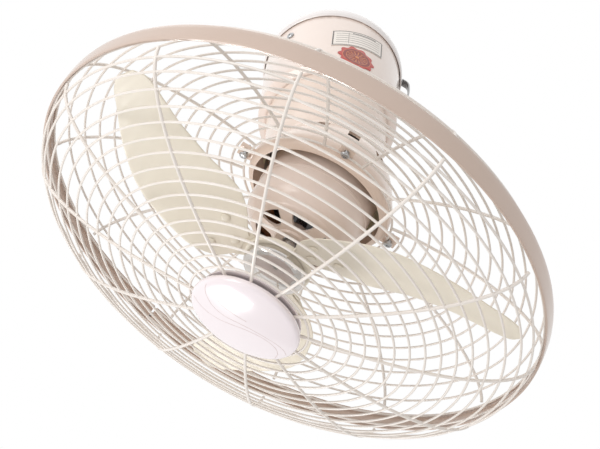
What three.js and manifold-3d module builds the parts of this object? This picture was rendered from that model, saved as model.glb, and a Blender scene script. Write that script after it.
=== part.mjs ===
// Orbital ceiling fan, 18 inch sweep, millimetres, +Z up.
// The origin is the middle of the ceiling face. A fixed canopy carries a hollow spindle. The swivel
// housing turns about the spindle and holds the fan head, whose axis leans by a fixed angle, so the
// head travels round the ceiling point while the blades spin inside the wire cage.
import * as THREE from 'three';
import { mergeVertices } from 'three/addons/utils/BufferGeometryUtils.js';
import Module from 'manifold-3d';

const wasm = await Module();
wasm.setup();

// ---------------------------------------------------------------- driving dimensions
const TOUCH = 0.3;                 // gap between pieces that touch
const RUNNING = 1.0;               // gap between pieces that turn past each other
const DEGREE = Math.PI / 180;

// ceiling plate and canopy
const PLATE_RADIUS = 79;
const PLATE_SHEET = 3;
const PLATE_RIM_DEPTH = 17;
const PLATE_RIM_WALL = 2.1;
const FIXING_CIRCLE = 62;
const FIXING_HOLE_RADIUS = 2.8;
const CABLE_HOLE_RADIUS = 9;
const CABLE_HOLE_OFFSET = 30;
const CANOPY_HEIGHT = 122;         // from the ceiling to the canopy's lower corner
const CANOPY_TAPER = 1.9;
const CANOPY_WALL = 2.5;
const CANOPY_CHAMFER = 7;
const CANOPY_SCREW_DROP = 38;

// levels below the canopy, each measured from the one above it
const SWIVEL_PLATE_DROP = CANOPY_HEIGHT + 59;      // top of the swivel plate below the ceiling
const NECK_WAIST_DROP = SWIVEL_PLATE_DROP + 7;
const HEAD_DROP = SWIVEL_PLATE_DROP + 79;          // where the head axis meets the spindle's axis
const HEAD_TILT = 26 * DEGREE;     // lean of the head axis from straight down

// hanger bracket and spindle
const BRACKET_SHEET = 2.5;
const BRACKET_WIDTH = 24;
const BRACKET_WELL_HALF = 20;
const BRACKET_WELL_DEPTH = 32;
const BRACKET_TAB_DEPTH = 45;
const SPINDLE_RADIUS = 8;
const SPINDLE_BORE = 4.5;
const SPINDLE_FLANGE_RADIUS = 13;
const SPINDLE_FLANGE = 3.7;
const NUT_RADIUS = 13;
const NUT_HEIGHT = 8;

// orbit drive
const GEAR_TEETH = 30;
const PINION_TEETH = 10;
const GEAR_MODULE = 1.2;
const GEAR_WIDTH = 6;
const GEAR_DROP = SWIVEL_PLATE_DROP - 21;          // top of the fixed gear below the ceiling
const DRUM_RADIUS = 15;
const DRUM_HEIGHT = 20;
const DRUM_DROP = SWIVEL_PLATE_DROP - 45;
const SWIVEL_PLATE_SHEET = 3;
const BUSH_WALL = 3;
const BUSH_FLANGE_RADIUS = 15;
const WASHER_RADIUS = 18;
const WASHER_SHEET = 2;
const ORBIT_MOTOR_RADIUS = 14;
const ORBIT_MOTOR_HEIGHT = 12.4;
const ORBIT_SHAFT_RADIUS = 2;

// From here on a height on the head is measured along its axis from the point at HEAD_DROP.
// swivel housing
const HOUSING_WALL = 2.6;
const NECK_TOP_RADIUS = 64.6;
const NECK_WAIST_RADIUS = 60.6;
const BELL_RADIUS = 76;
const BELL_MOUTH = 10;
const BELL_MOUTH_RADIUS = 67.5;
const BELL_DEPTH = 70;
const SLOT_COUNT = 4;
const SLOT_FIRST = -27.5 * DEGREE;
const SLOT_STEP = -32.5 * DEGREE;
const SLOT_LENGTH = 12;
const SLOT_HEIGHT = 8;
const LUG_COUNT = 4;
const LUG_ANGLE = 29 * DEGREE;
const LUG_REACH = 90;
const LUG_WIDTH = 15;
const LUG_SHEET = 5;

// fan motor
const MOTOR_RADIUS = 57;
const MOTOR_WALL = 2.5;
const MOTOR_REAR = -20.5;
const MOTOR_SPLIT = 18;
const MOTOR_FRONT = 66.5;
const VENT_COUNT = 6;
const VENT_ANGLE = 38 * DEGREE;
const VENT_INNER = 21;
const VENT_OUTER = 39;
const STATOR_LENGTH = 34;
const ROTOR_RADIUS = 29.6;
const AIR_GAP = 0.8;
const BEARING_RADIUS = 14;
const BEARING_WIDTH = 8.7;
const SHAFT_RADIUS = 6;
const SHAFT_END = 104;

// blades and hub
const BLADE_COUNT = 3;
const BLADE_ANGLE = -120 * DEGREE;     // from one blade to the next
const BLADE_START = 2.7 * DEGREE;
const SWEEP_RADIUS = 237.5;
const BLADE_SHEET = 1.2;
const BLADE_PLANE = 96;
const BLADE_ROOT_SLOPE = 0.34;
const BLADE_SLOPE_LOSS = 0.0007;
const SPIDER_SHEET = 2.4;
const SPIDER_DISC_RADIUS = 34;
const SPIDER_DISC_TOP = 97;
const SPIDER_DISC_SHEET = 4.5;
const SPIDER_ARM_REACH = 79;
const SPIDER_BOSS_RADIUS = 14;
const SPIDER_BOSS_REAR = 79;
const CAP_RADIUS = 31.8;
const CAP_TAPER = 2.2;              // by which the cap's foot is smaller
const CAP_HEIGHT = 18;
const CAP_WALL = 2;
const RIVET_RADIUS = 2;
const RIVET_HEAD_RADIUS = 4.5;
const RIVET_HEAD = 1.8;

// wire cage and rim band
const WIRE = 2.4;
const RIB_WIDTH = 3.2;
const RIB_COUNT = 12;
const RIB_PHASE = 14.5 * DEGREE;
const RIM_RADIUS = 260;
const RIM_SHEET = 2;
const RIM_REAR = 67;
const RIM_WIDTH = 20;
const RIM_CROWN = 1.2;             // how far the band's edges stand back from its middle
const WIRE_INSET = 3.4;            // from the band's edges to the outermost wires
const CAGE_CLEARANCE = 1.6;        // between the band's inner side and the outermost wires
const CAGE_RADIUS = RIM_RADIUS - RIM_SHEET - CAGE_CLEARANCE - WIRE / 2;
const FRONT_RING_COUNT = 15;
const FRONT_INNER_RADIUS = 47;
const FRONT_EDGE = RIM_REAR + RIM_WIDTH - WIRE_INSET;
const FRONT_BULGE = 76;
const FRONT_FULLNESS = 0.95;
const REAR_RING_COUNT = 12;
const REAR_INNER_RADIUS = 79;
const REAR_INNER_HEIGHT = 6;
const REAR_EDGE = RIM_REAR + WIRE_INSET;
const CLAMP_ANGLE = 100 * DEGREE;
const CLAMP_GAP = 3;
const CLAMP_EAR = 9;
const CLAMP_EAR_SHEET = 2;
const CLAMP_EAR_WIDTH = 12;

// badge
const BADGE_RADIUS = 54.5;
const BADGE_DOME = 14;
const BADGE_EDGE = 7.6;
const BADGE_WALL = 2.2;
const BADGE_BOSS_RADIUS = 6;
const BACKING_RADIUS = 50.5;
const BACKING_SHEET = 3;

// small screws
const SCREW_RADIUS = 1.9;
const SCREW_HEAD_RADIUS = 4.4;
const SCREW_HEAD = 2.4;

const ROUND = 28;                  // facets on a shell
const FINE = 32;                   // facets on the largest rings
const SMALL = 16;                  // facets on a shaft-sized piece
const TINY = 7;                    // facets on a screw

// ---------------------------------------------------------------- materials
function finish(color, roughness, metalness = 0) {
  return new THREE.MeshStandardMaterial({ color, roughness, metalness });
}
const CREAM = finish(0xf1e4dc, 0.3);
const WIRE_WHITE = finish(0xf3eeea, 0.35);
const RIM_BEIGE = finish(0xd3beb2, 0.4);
const BLADE_CREAM = finish(0xe2dfc8, 0.45);
const BADGE_WHITE = finish(0xf7eef3, 0.2);
const CHROME = finish(0xd6d8da, 0.12, 1);
const STEEL = finish(0x9a9c9f, 0.35, 1);
const BRASS = finish(0xb8923c, 0.35, 1);
const COPPER = finish(0xa9623a, 0.4, 1);
const LAMINATION = finish(0x6c6f74, 0.5, 0.8);
const NYLON = finish(0xe9e6dc, 0.5);
const DARK_PLASTIC = finish(0x3a3b3d, 0.5);
const LABEL_PAPER = finish(0xefe6e0, 0.5);
const SEAL_RED = finish(0xa8201c, 0.35);

// ---------------------------------------------------------------- solids
// A closed body with merged corners, no collapsed triangles and its faces pointing out.
function closedBody(source) {
  const plain = source.index ? source.toNonIndexed() : source.clone();
  plain.deleteAttribute('normal');
  plain.deleteAttribute('uv');
  const merged = mergeVertices(plain, 1e-4);
  const index = merged.index.array;
  const at = merged.attributes.position;
  const corner = [new THREE.Vector3(), new THREE.Vector3(), new THREE.Vector3()];
  const kept = [];
  let volume = 0;
  for (let i = 0; i < index.length; i += 3) {
    const [a, b, c] = [index[i], index[i + 1], index[i + 2]];
    if (a === b || b === c || a === c) continue;
    kept.push(a, b, c);
    [a, b, c].forEach((vertex, k) => corner[k].fromBufferAttribute(at, vertex));
    volume += corner[0].dot(corner[1].cross(corner[2]));
  }
  if (volume < 0) kept.reverse();
  const body = new THREE.BufferGeometry();
  body.setAttribute('position', at);
  body.setIndex(kept);
  return body;
}

function toSolid(geometry) {
  const body = closedBody(geometry);
  return new wasm.Manifold(new wasm.Mesh({
    numProp: 3,
    vertProperties: new Float32Array(body.attributes.position.array),
    triVerts: new Uint32Array(body.index.array),
  }));
}

function toGeometry(solid) {
  const mesh = solid.getMesh();
  const geometry = new THREE.BufferGeometry();
  geometry.setAttribute('position', new THREE.BufferAttribute(mesh.vertProperties, 3));
  geometry.setIndex(new THREE.BufferAttribute(mesh.triVerts, 1));
  return geometry;
}

function join(geometries) {
  return toGeometry(geometries.map(toSolid).reduce((whole, piece) => whole.add(piece)));
}

function cut(geometry, tools) {
  return toGeometry(tools.map(toSolid).reduce((left, tool) => left.subtract(tool), toSolid(geometry)));
}

// Turned about Z: the profile is a list of [radius, height] that closes on itself or on the axis.
function turned(profile, facets = ROUND) {
  const points = profile.map(([radius, height]) => new THREE.Vector2(radius, height));
  const first = points[0];
  const last = points[points.length - 1];
  if (first.x > 0 || last.x > 0) points.push(first.clone());
  return new THREE.LatheGeometry(points, facets).rotateX(Math.PI / 2);
}

function ring(inner, outer, low, high, facets = SMALL) {
  return turned([[inner, low], [outer, low], [outer, high], [inner, high]], facets);
}

function rod(radius, low, high, facets = TINY) {
  return turned([[0, low], [radius, low], [radius, high], [0, high]], facets);
}

function block(sizeX, sizeY, sizeZ, x = 0, y = 0, z = 0) {
  return new THREE.BoxGeometry(sizeX, sizeY, sizeZ).translate(x, y, z);
}

// A flat outline in X and Y, raised from low to high.
function raised(shape, low, high, curveSegments = 6) {
  const options = { depth: high - low, bevelEnabled: false, curveSegments };
  return new THREE.ExtrudeGeometry(shape, options).translate(0, 0, low);
}

// A grid of points with a front and a back, closed round its border and round its empty cells.
function thickGrid(rows, columns, wraps, pointAt, isFilled) {
  const columnPoints = wraps ? columns : columns + 1;
  const positions = [];
  for (let row = 0; row <= rows; row += 1) {
    for (let column = 0; column < columnPoints; column += 1) {
      positions.push(...pointAt(row, column, 1), ...pointAt(row, column, -1));
    }
  }
  const corner = (row, column, side) => (
    2 * (row * columnPoints + (wraps ? column % columns : column)) + (side > 0 ? 0 : 1)
  );
  const filled = (row, column) => {
    if (row < 0 || row >= rows) return false;
    if (!wraps && (column < 0 || column >= columns)) return false;
    return isFilled(row, (column + columns) % columns);
  };
  const triangles = [];
  const quad = (a, b, c, d) => triangles.push(a, b, c, a, c, d);
  for (let row = 0; row < rows; row += 1) {
    for (let column = 0; column < columns; column += 1) {
      if (!filled(row, column)) continue;
      const near = [
        corner(row, column, 1), corner(row, column + 1, 1),
        corner(row + 1, column + 1, 1), corner(row + 1, column, 1),
      ];
      const far = near.map((vertex) => vertex + 1);
      quad(...near);
      quad(far[3], far[2], far[1], far[0]);
      const open = [!filled(row - 1, column), !filled(row, column + 1),
        !filled(row + 1, column), !filled(row, column - 1)];
      open.forEach((isOpen, side) => {
        const next = (side + 1) % 4;
        if (isOpen) quad(near[side], far[side], far[next], near[next]);
      });
    }
  }
  const geometry = new THREE.BufferGeometry();
  geometry.setAttribute('position', new THREE.Float32BufferAttribute(positions, 3));
  geometry.setIndex(triangles);
  return geometry;
}

// ---------------------------------------------------------------- the assembly
const fan = new THREE.Group();
fan.name = 'orbital_ceiling_fan';
const head = new THREE.Group();          // its +Z runs along the head axis, towards the badge
head.position.z = -HEAD_DROP;
head.rotation.x = Math.PI - HEAD_TILT;
fan.add(head);

function add(parent, name, geometry, material) {
  const mesh = new THREE.Mesh(closedBody(geometry), material);
  mesh.name = name;
  parent.add(mesh);
  return mesh;
}

// A pan-head screw along +Z: its head starts at the height 0 and its shank runs down.
function screw(length, facets = TINY) {
  return turned([
    [0, -length], [SCREW_RADIUS, -length], [SCREW_RADIUS, 0],
    [SCREW_HEAD_RADIUS, 0], [SCREW_HEAD_RADIUS * 0.8, SCREW_HEAD], [0, SCREW_HEAD],
  ], facets);
}
const SCREW_HOLE = SCREW_RADIUS + TOUCH;

// ---------------------------------------------------------------- ceiling plate and canopy
const canopyTop = -PLATE_SHEET - TOUCH;
const canopyTopRadius = PLATE_RADIUS - PLATE_RIM_WALL - 0.7;

function canopyRadius(height) {
  const share = (canopyTop - height) / (canopyTop + CANOPY_HEIGHT);
  return canopyTopRadius - CANOPY_TAPER * share;
}

function ceilingPlate() {
  const dish = turned([
    [0, 0], [PLATE_RADIUS - 4, 0], [PLATE_RADIUS - 1.2, -2.2], [PLATE_RADIUS, -6.5],
    [PLATE_RADIUS, -PLATE_RIM_DEPTH + 4], [PLATE_RADIUS - 1, -PLATE_RIM_DEPTH],
    [PLATE_RADIUS - PLATE_RIM_WALL, -PLATE_RIM_DEPTH],
    [PLATE_RADIUS - PLATE_RIM_WALL, -PLATE_SHEET], [0, -PLATE_SHEET],
  ], FINE);
  const holes = [];
  for (let i = 0; i < 4; i += 1) {
    const angle = (45 + 90 * i) * DEGREE;
    holes.push(rod(FIXING_HOLE_RADIUS, -2 * PLATE_SHEET, PLATE_SHEET)
      .translate(FIXING_CIRCLE * Math.cos(angle), FIXING_CIRCLE * Math.sin(angle), 0));
  }
  holes.push(rod(CABLE_HOLE_RADIUS, -2 * PLATE_SHEET, PLATE_SHEET, SMALL)
    .translate(0, CABLE_HOLE_OFFSET, 0));
  return cut(dish, holes);
}
add(fan, 'ceiling_plate', ceilingPlate(), CREAM);

const neckTop = -CANOPY_HEIGHT - CANOPY_CHAMFER - RUNNING;
function canopy() {
  const corner = canopyRadius(-CANOPY_HEIGHT);
  const lip = NECK_TOP_RADIUS + RUNNING;
  const shell = turned([
    [canopyTopRadius, canopyTop], [corner + 0.1, -CANOPY_HEIGHT + 4],
    [corner - 1.2, -CANOPY_HEIGHT], [lip + 1, -CANOPY_HEIGHT - CANOPY_CHAMFER],
    [lip - CANOPY_WALL, -CANOPY_HEIGHT - CANOPY_CHAMFER],
    [lip - CANOPY_WALL, -CANOPY_HEIGHT - CANOPY_CHAMFER + 2],
    [corner - CANOPY_WALL, -CANOPY_HEIGHT + 4],
    [canopyTopRadius - CANOPY_WALL, canopyTop],
  ], FINE);
  const drill = rod(SCREW_HOLE, -PLATE_RADIUS - 5, PLATE_RADIUS + 5)
    .rotateY(Math.PI / 2).translate(0, 0, -CANOPY_SCREW_DROP);
  return cut(shell, [drill]);
}
add(fan, 'canopy', canopy(), CREAM);

// steel strap across the bracket: two side tabs, a flat top and a well that carries the spindle
const tabOutside = canopyTopRadius - CANOPY_TAPER - CANOPY_WALL - 1;
function hangerBracket() {
  const top = canopyTop - TOUCH;
  const half = [
    [tabOutside, top], [tabOutside, -BRACKET_TAB_DEPTH],
    [tabOutside - BRACKET_SHEET, -BRACKET_TAB_DEPTH],
    [tabOutside - BRACKET_SHEET, top - BRACKET_SHEET],
    [BRACKET_WELL_HALF + BRACKET_SHEET, top - BRACKET_SHEET],
    [BRACKET_WELL_HALF + BRACKET_SHEET, -BRACKET_WELL_DEPTH - BRACKET_SHEET],
  ];
  const mirrored = half.map(([x, z]) => [-x, z]).reverse();
  const shape = new THREE.Shape();
  const path = [
    ...half, ...mirrored,
    [-BRACKET_WELL_HALF, top], [-BRACKET_WELL_HALF, -BRACKET_WELL_DEPTH],
    [BRACKET_WELL_HALF, -BRACKET_WELL_DEPTH], [BRACKET_WELL_HALF, top],
  ];
  path.forEach(([x, z], i) => (i ? shape.lineTo(x, z) : shape.moveTo(x, z)));
  const strap = raised(shape, -BRACKET_WIDTH / 2, BRACKET_WIDTH / 2).rotateX(Math.PI / 2);
  const bore = rod(SPINDLE_RADIUS + TOUCH, -BRACKET_WELL_DEPTH - 2 * BRACKET_SHEET,
    -BRACKET_WELL_DEPTH + BRACKET_SHEET, SMALL);
  const drill = rod(SCREW_HOLE, -PLATE_RADIUS, PLATE_RADIUS)
    .rotateY(Math.PI / 2).translate(0, 0, -CANOPY_SCREW_DROP);
  return cut(strap, [bore, drill]);
}
add(fan, 'hanger_bracket', hangerBracket(), STEEL);

for (const [name, side] of [['canopy_screw_right', 1], ['canopy_screw_left', -1]]) {
  const part = add(fan, name, screw(8), STEEL);
  part.position.set(side * (canopyRadius(-CANOPY_SCREW_DROP) + TOUCH), 0, -CANOPY_SCREW_DROP);
  part.rotation.y = side * Math.PI / 2;
}

// steel safety clip that hooks over the plate's edge and keeps the canopy up
const CLIP_ANGLE = 132 * DEGREE;
const CLIP_SHEET = 1.8;
const CLIP_WIDTH = 9;
const CLIP_STANDOFF = 7;
function safetyClip() {
  const wall = canopyTopRadius + 0.2 + TOUCH;
  const outside = PLATE_RADIUS + TOUCH + CLIP_STANDOFF;
  const path = [
    [PLATE_RADIUS + TOUCH, -7], [outside - 1, -12], [outside, -17], [outside, -34],
    [outside - 2, -43], [wall, -58], [wall - 0.4, -60],
    [wall + CLIP_SHEET, -62], [outside + CLIP_SHEET - 2, -44],
    [outside + CLIP_SHEET, -34.5], [outside + CLIP_SHEET, -16], [outside + CLIP_SHEET - 1, -10.5],
    [PLATE_RADIUS + TOUCH + 0.4, -5],
  ];
  const shape = new THREE.Shape(path.map(([x, z]) => new THREE.Vector2(x, z)));
  return raised(shape, -CLIP_WIDTH / 2, CLIP_WIDTH / 2).rotateX(Math.PI / 2).rotateZ(CLIP_ANGLE);
}
add(fan, 'safety_clip', safetyClip(), STEEL);

// stickers: thin curved patches on the canopy's side
const STICKER = 0.5;
function canopyPoint(angle, height, side) {
  const radius = canopyRadius(height) + TOUCH + STICKER * (side > 0 ? 1 : 0);
  return [radius * Math.cos(angle), radius * Math.sin(angle), height];
}
const RATING_PLATE = {
  from: 37.5 * DEGREE, to: 83 * DEGREE, leftTop: -52.5, rightTop: -34, height: 33,
};
function ratingPlate() {
  const { from, to, leftTop, rightTop, height } = RATING_PLATE;
  return thickGrid(1, 8, false, (row, column, side) => {
    const share = column / 8;
    const top = leftTop + (rightTop - leftTop) * share;
    return canopyPoint(from + (to - from) * share, top - height * row, side);
  }, () => true);
}
add(fan, 'rating_plate', ratingPlate(), LABEL_PAPER);

const SEAL = { angle: 59.5 * DEGREE, height: -100, radius: 19.6, lobes: 10, lobe: 1.5 };
function sealSticker() {
  const rings = 2;
  const columns = 30;
  const positions = [];
  for (const side of [1, -1]) {
    positions.push(...canopyPoint(SEAL.angle, SEAL.height, side));
    for (let row = 1; row <= rings; row += 1) {
      for (let column = 0; column < columns; column += 1) {
        const turn = 2 * Math.PI * column / columns;
        const radius = (SEAL.radius + SEAL.lobe * Math.cos(SEAL.lobes * turn)) * row / rings;
        const across = radius * Math.cos(turn) / canopyRadius(SEAL.height);
        const up = radius * Math.sin(turn);
        positions.push(...canopyPoint(SEAL.angle + across, SEAL.height + up, side));
      }
    }
  }
  const perSide = 1 + rings * columns;
  const triangles = [];
  const vertex = (side, row, column) => (
    side * perSide + (row ? 1 + (row - 1) * columns + column % columns : 0)
  );
  for (let column = 0; column < columns; column += 1) {
    for (let row = 0; row < rings; row += 1) {
      const [a, b, c, d] = [
        [row, column], [row, column + 1], [row + 1, column + 1], [row + 1, column],
      ].map(([r, k]) => [vertex(0, r, k), vertex(1, r, k)]);
      triangles.push(a[0], d[0], c[0], a[0], c[0], b[0]);
      triangles.push(a[1], c[1], d[1], a[1], b[1], c[1]);
    }
    const [p, q] = [vertex(0, rings, column), vertex(0, rings, column + 1)];
    triangles.push(p, p + perSide, q, q, p + perSide, q + perSide);
  }
  const geometry = new THREE.BufferGeometry();
  geometry.setAttribute('position', new THREE.Float32BufferAttribute(positions, 3));
  geometry.setIndex(triangles);
  return geometry;
}
add(fan, 'seal_sticker', sealSticker(), SEAL_RED);

// electrical pieces on the underside of the ceiling plate
const TERMINAL_BLOCK = { length: 34, width: 14, height: 13, offset: -PLATE_RADIUS * 0.53 };
function terminalBlock() {
  const { length, width, height, offset } = TERMINAL_BLOCK;
  const top = canopyTop;
  const body = block(length, width, height, 0, offset, top - height / 2);
  const wells = [];
  for (let i = -1; i <= 1; i += 1) {
    wells.push(rod(3.2, top - height - 1, top - height + 7).translate(i * 10.5, offset, 0));
  }
  return cut(body, wells);
}
add(fan, 'terminal_block', terminalBlock(), NYLON);

const CAPACITOR = { length: 38, width: 18, height: 28, offset: PLATE_RADIUS * 0.683, corner: 4 };
function runCapacitor() {
  const { length, width, height, offset, corner } = CAPACITOR;
  const shape = new THREE.Shape();
  const [x, y] = [length / 2, width / 2];
  shape.moveTo(-x + corner, -y);
  shape.lineTo(x - corner, -y);
  shape.quadraticCurveTo(x, -y, x, -y + corner);
  shape.lineTo(x, y - corner);
  shape.quadraticCurveTo(x, y, x - corner, y);
  shape.lineTo(-x + corner, y);
  shape.quadraticCurveTo(-x, y, -x, y - corner);
  shape.lineTo(-x, -y + corner);
  shape.quadraticCurveTo(-x, -y, -x + corner, -y);
  return raised(shape, canopyTop - height, canopyTop, 3).translate(0, offset, 0);
}
add(fan, 'run_capacitor', runCapacitor(), DARK_PLASTIC);

// ---------------------------------------------------------------- spindle and its fixed pieces
const boreFit = SPINDLE_RADIUS + TOUCH;
const swivelPlateTop = -SWIVEL_PLATE_DROP;
const swivelPlateBottom = swivelPlateTop - SWIVEL_PLATE_SHEET;
const bushBottom = swivelPlateBottom - TOUCH - BUSH_WALL;
const washerTop = bushBottom - TOUCH;
const retainingTop = washerTop - WASHER_SHEET - TOUCH;
const spindleBottom = retainingTop - NUT_HEIGHT - 2;

const spindleHead = -BRACKET_WELL_DEPTH + TOUCH;
add(fan, 'spindle', turned([
  [SPINDLE_BORE, spindleHead + SPINDLE_FLANGE], [SPINDLE_BORE, spindleBottom],
  [SPINDLE_RADIUS, spindleBottom], [SPINDLE_RADIUS, spindleHead],
  [SPINDLE_FLANGE_RADIUS, spindleHead], [SPINDLE_FLANGE_RADIUS, spindleHead + SPINDLE_FLANGE],
], SMALL), STEEL);

// A hexagon nut round the spindle or the shaft, hanging down from a height.
function hexNut(bore, radius, top, height) {
  const shape = new THREE.Shape();
  for (let i = 0; i < 6; i += 1) {
    const [x, y] = [radius * Math.cos(i * 60 * DEGREE), radius * Math.sin(i * 60 * DEGREE)];
    if (i) shape.lineTo(x, y); else shape.moveTo(x, y);
  }
  shape.holes.push(new THREE.Path().absarc(0, 0, bore, 0, 2 * Math.PI, true));
  return raised(shape, top - height, top, 9);
}
const locknutTop = -BRACKET_WELL_DEPTH - BRACKET_SHEET - TOUCH;
add(fan, 'spindle_locknut', hexNut(boreFit, NUT_RADIUS, locknutTop, NUT_HEIGHT), STEEL);
add(fan, 'retaining_nut', hexNut(boreFit, NUT_RADIUS, retainingTop, NUT_HEIGHT), STEEL);
add(fan, 'thrust_washer', ring(boreFit, WASHER_RADIUS, washerTop - WASHER_SHEET, washerTop), BRASS);

// slip ring drum: three conducting bands on an insulating sleeve
function slipRingDrum() {
  const band = DRUM_HEIGHT / 7;
  const profile = [[boreFit, -DRUM_DROP]];
  profile.push([boreFit, -DRUM_DROP - DRUM_HEIGHT]);
  for (let i = 7; i > 0; i -= 1) {
    const radius = i % 2 ? DRUM_RADIUS : DRUM_RADIUS - 1.6;
    profile.push([radius, -DRUM_DROP - band * i], [radius, -DRUM_DROP - band * (i - 1)]);
  }
  return turned(profile, SMALL);
}
add(fan, 'slip_ring_drum', slipRingDrum(), BRASS);

// Spur gear with straight-flanked teeth; phase turns it by a share of one tooth.
function spurGear(teeth, bore, phase) {
  const pitch = teeth * GEAR_MODULE / 2;
  const outer = pitch + 0.9 * GEAR_MODULE;
  const root = pitch - 1.25 * GEAR_MODULE;
  const step = 2 * Math.PI / teeth;
  const shape = new THREE.Shape();
  for (let i = 0; i < teeth; i += 1) {
    const middle = (i + phase) * step;
    const flank = [[root, -0.3], [outer, -0.11], [outer, 0.11], [root, 0.3]];
    flank.forEach(([radius, share], k) => {
      const angle = middle + share * step;
      const [x, y] = [radius * Math.cos(angle), radius * Math.sin(angle)];
      if (i || k) shape.lineTo(x, y); else shape.moveTo(x, y);
    });
  }
  shape.holes.push(new THREE.Path().absarc(0, 0, bore, 0, 2 * Math.PI, true));
  return raised(shape, -GEAR_DROP - GEAR_WIDTH, -GEAR_DROP, 7);
}
add(fan, 'orbit_gear', spurGear(GEAR_TEETH, boreFit, 0), BRASS);

// ---------------------------------------------------------------- orbiting drive on the swivel plate
const gearCentres = (GEAR_TEETH + PINION_TEETH) * GEAR_MODULE / 2 + 0.2;
const swivelPlateRadius = NECK_WAIST_RADIUS - HOUSING_WALL - 0.6;
function swivelPlate() {
  const shape = new THREE.Shape().absarc(0, 0, swivelPlateRadius, 0, 2 * Math.PI, false);
  const bushBore = boreFit + BUSH_WALL + TOUCH;
  shape.holes.push(new THREE.Path().absarc(0, 0, bushBore, 0, 2 * Math.PI, true));
  return raised(shape, swivelPlateBottom, swivelPlateTop, SMALL);
}
add(fan, 'swivel_plate', swivelPlate(), STEEL);
add(fan, 'swivel_bush', turned([
  [boreFit, bushBottom], [BUSH_FLANGE_RADIUS, bushBottom],
  [BUSH_FLANGE_RADIUS, bushBottom + BUSH_WALL], [boreFit + BUSH_WALL, bushBottom + BUSH_WALL],
  [boreFit + BUSH_WALL, swivelPlateTop], [boreFit, swivelPlateTop],
], SMALL), BRASS);

const orbitMotorTop = swivelPlateTop + TOUCH + ORBIT_MOTOR_HEIGHT;
const orbitMotor = add(fan, 'orbit_motor', turned([
  [0, swivelPlateTop + TOUCH], [ORBIT_MOTOR_RADIUS, swivelPlateTop + TOUCH],
  [ORBIT_MOTOR_RADIUS, orbitMotorTop], [ORBIT_SHAFT_RADIUS, orbitMotorTop],
  [ORBIT_SHAFT_RADIUS, -GEAR_DROP + 1], [0, -GEAR_DROP + 1],
], SMALL), STEEL);
orbitMotor.position.x = gearCentres;
const pinion = add(fan, 'orbit_pinion', spurGear(PINION_TEETH, ORBIT_SHAFT_RADIUS + TOUCH, 0.5), NYLON);
pinion.position.x = gearCentres;

// brush block: a nylon post with three spring fingers that ride on the slip rings
function brushBlock() {
  const top = -DRUM_DROP;
  const height = top - swivelPlateTop - TOUCH;
  const post = block(9, 14, height, -DRUM_RADIUS - 16, 0, top - height / 2);
  const fingers = [];
  for (let i = 0; i < 3; i += 1) {
    const level = top - DRUM_HEIGHT / 7 * (1.5 + 2 * i);
    const reach = 12;
    fingers.push(block(reach, 4, 1.2, -DRUM_RADIUS - TOUCH - reach / 2, 0, level));
  }
  return join([post, ...fingers]);
}
add(fan, 'brush_block', brushBlock(), NYLON);

// ---------------------------------------------------------------- swivel housing
// places a geometry made on the head axis into the fan's own frame
function fromHead(geometry) {
  return geometry.rotateX(Math.PI - HEAD_TILT).translate(0, 0, -HEAD_DROP);
}

const bellProfile = [   // radius, height on the head axis, from the crown to the widest place
  [0, -1], [0.395, -0.93], [0.67, -0.7], [0.842, -0.443], [0.947, -0.186], [1, -0.05],
].map(([radius, height]) => [BELL_RADIUS * radius, BELL_DEPTH * height]);
const neckFlare = NECK_TOP_RADIUS - NECK_WAIST_RADIUS;
const neckProfile = [   // radius, height, from the foot inside the bell to the top
  [NECK_WAIST_RADIUS - 2, -HEAD_DROP + 12], [NECK_WAIST_RADIUS, -NECK_WAIST_DROP - 27],
  [NECK_WAIST_RADIUS, -NECK_WAIST_DROP],
  [NECK_WAIST_RADIUS + 0.4 * neckFlare, -NECK_WAIST_DROP + 28], [NECK_TOP_RADIUS, neckTop],
];

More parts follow.
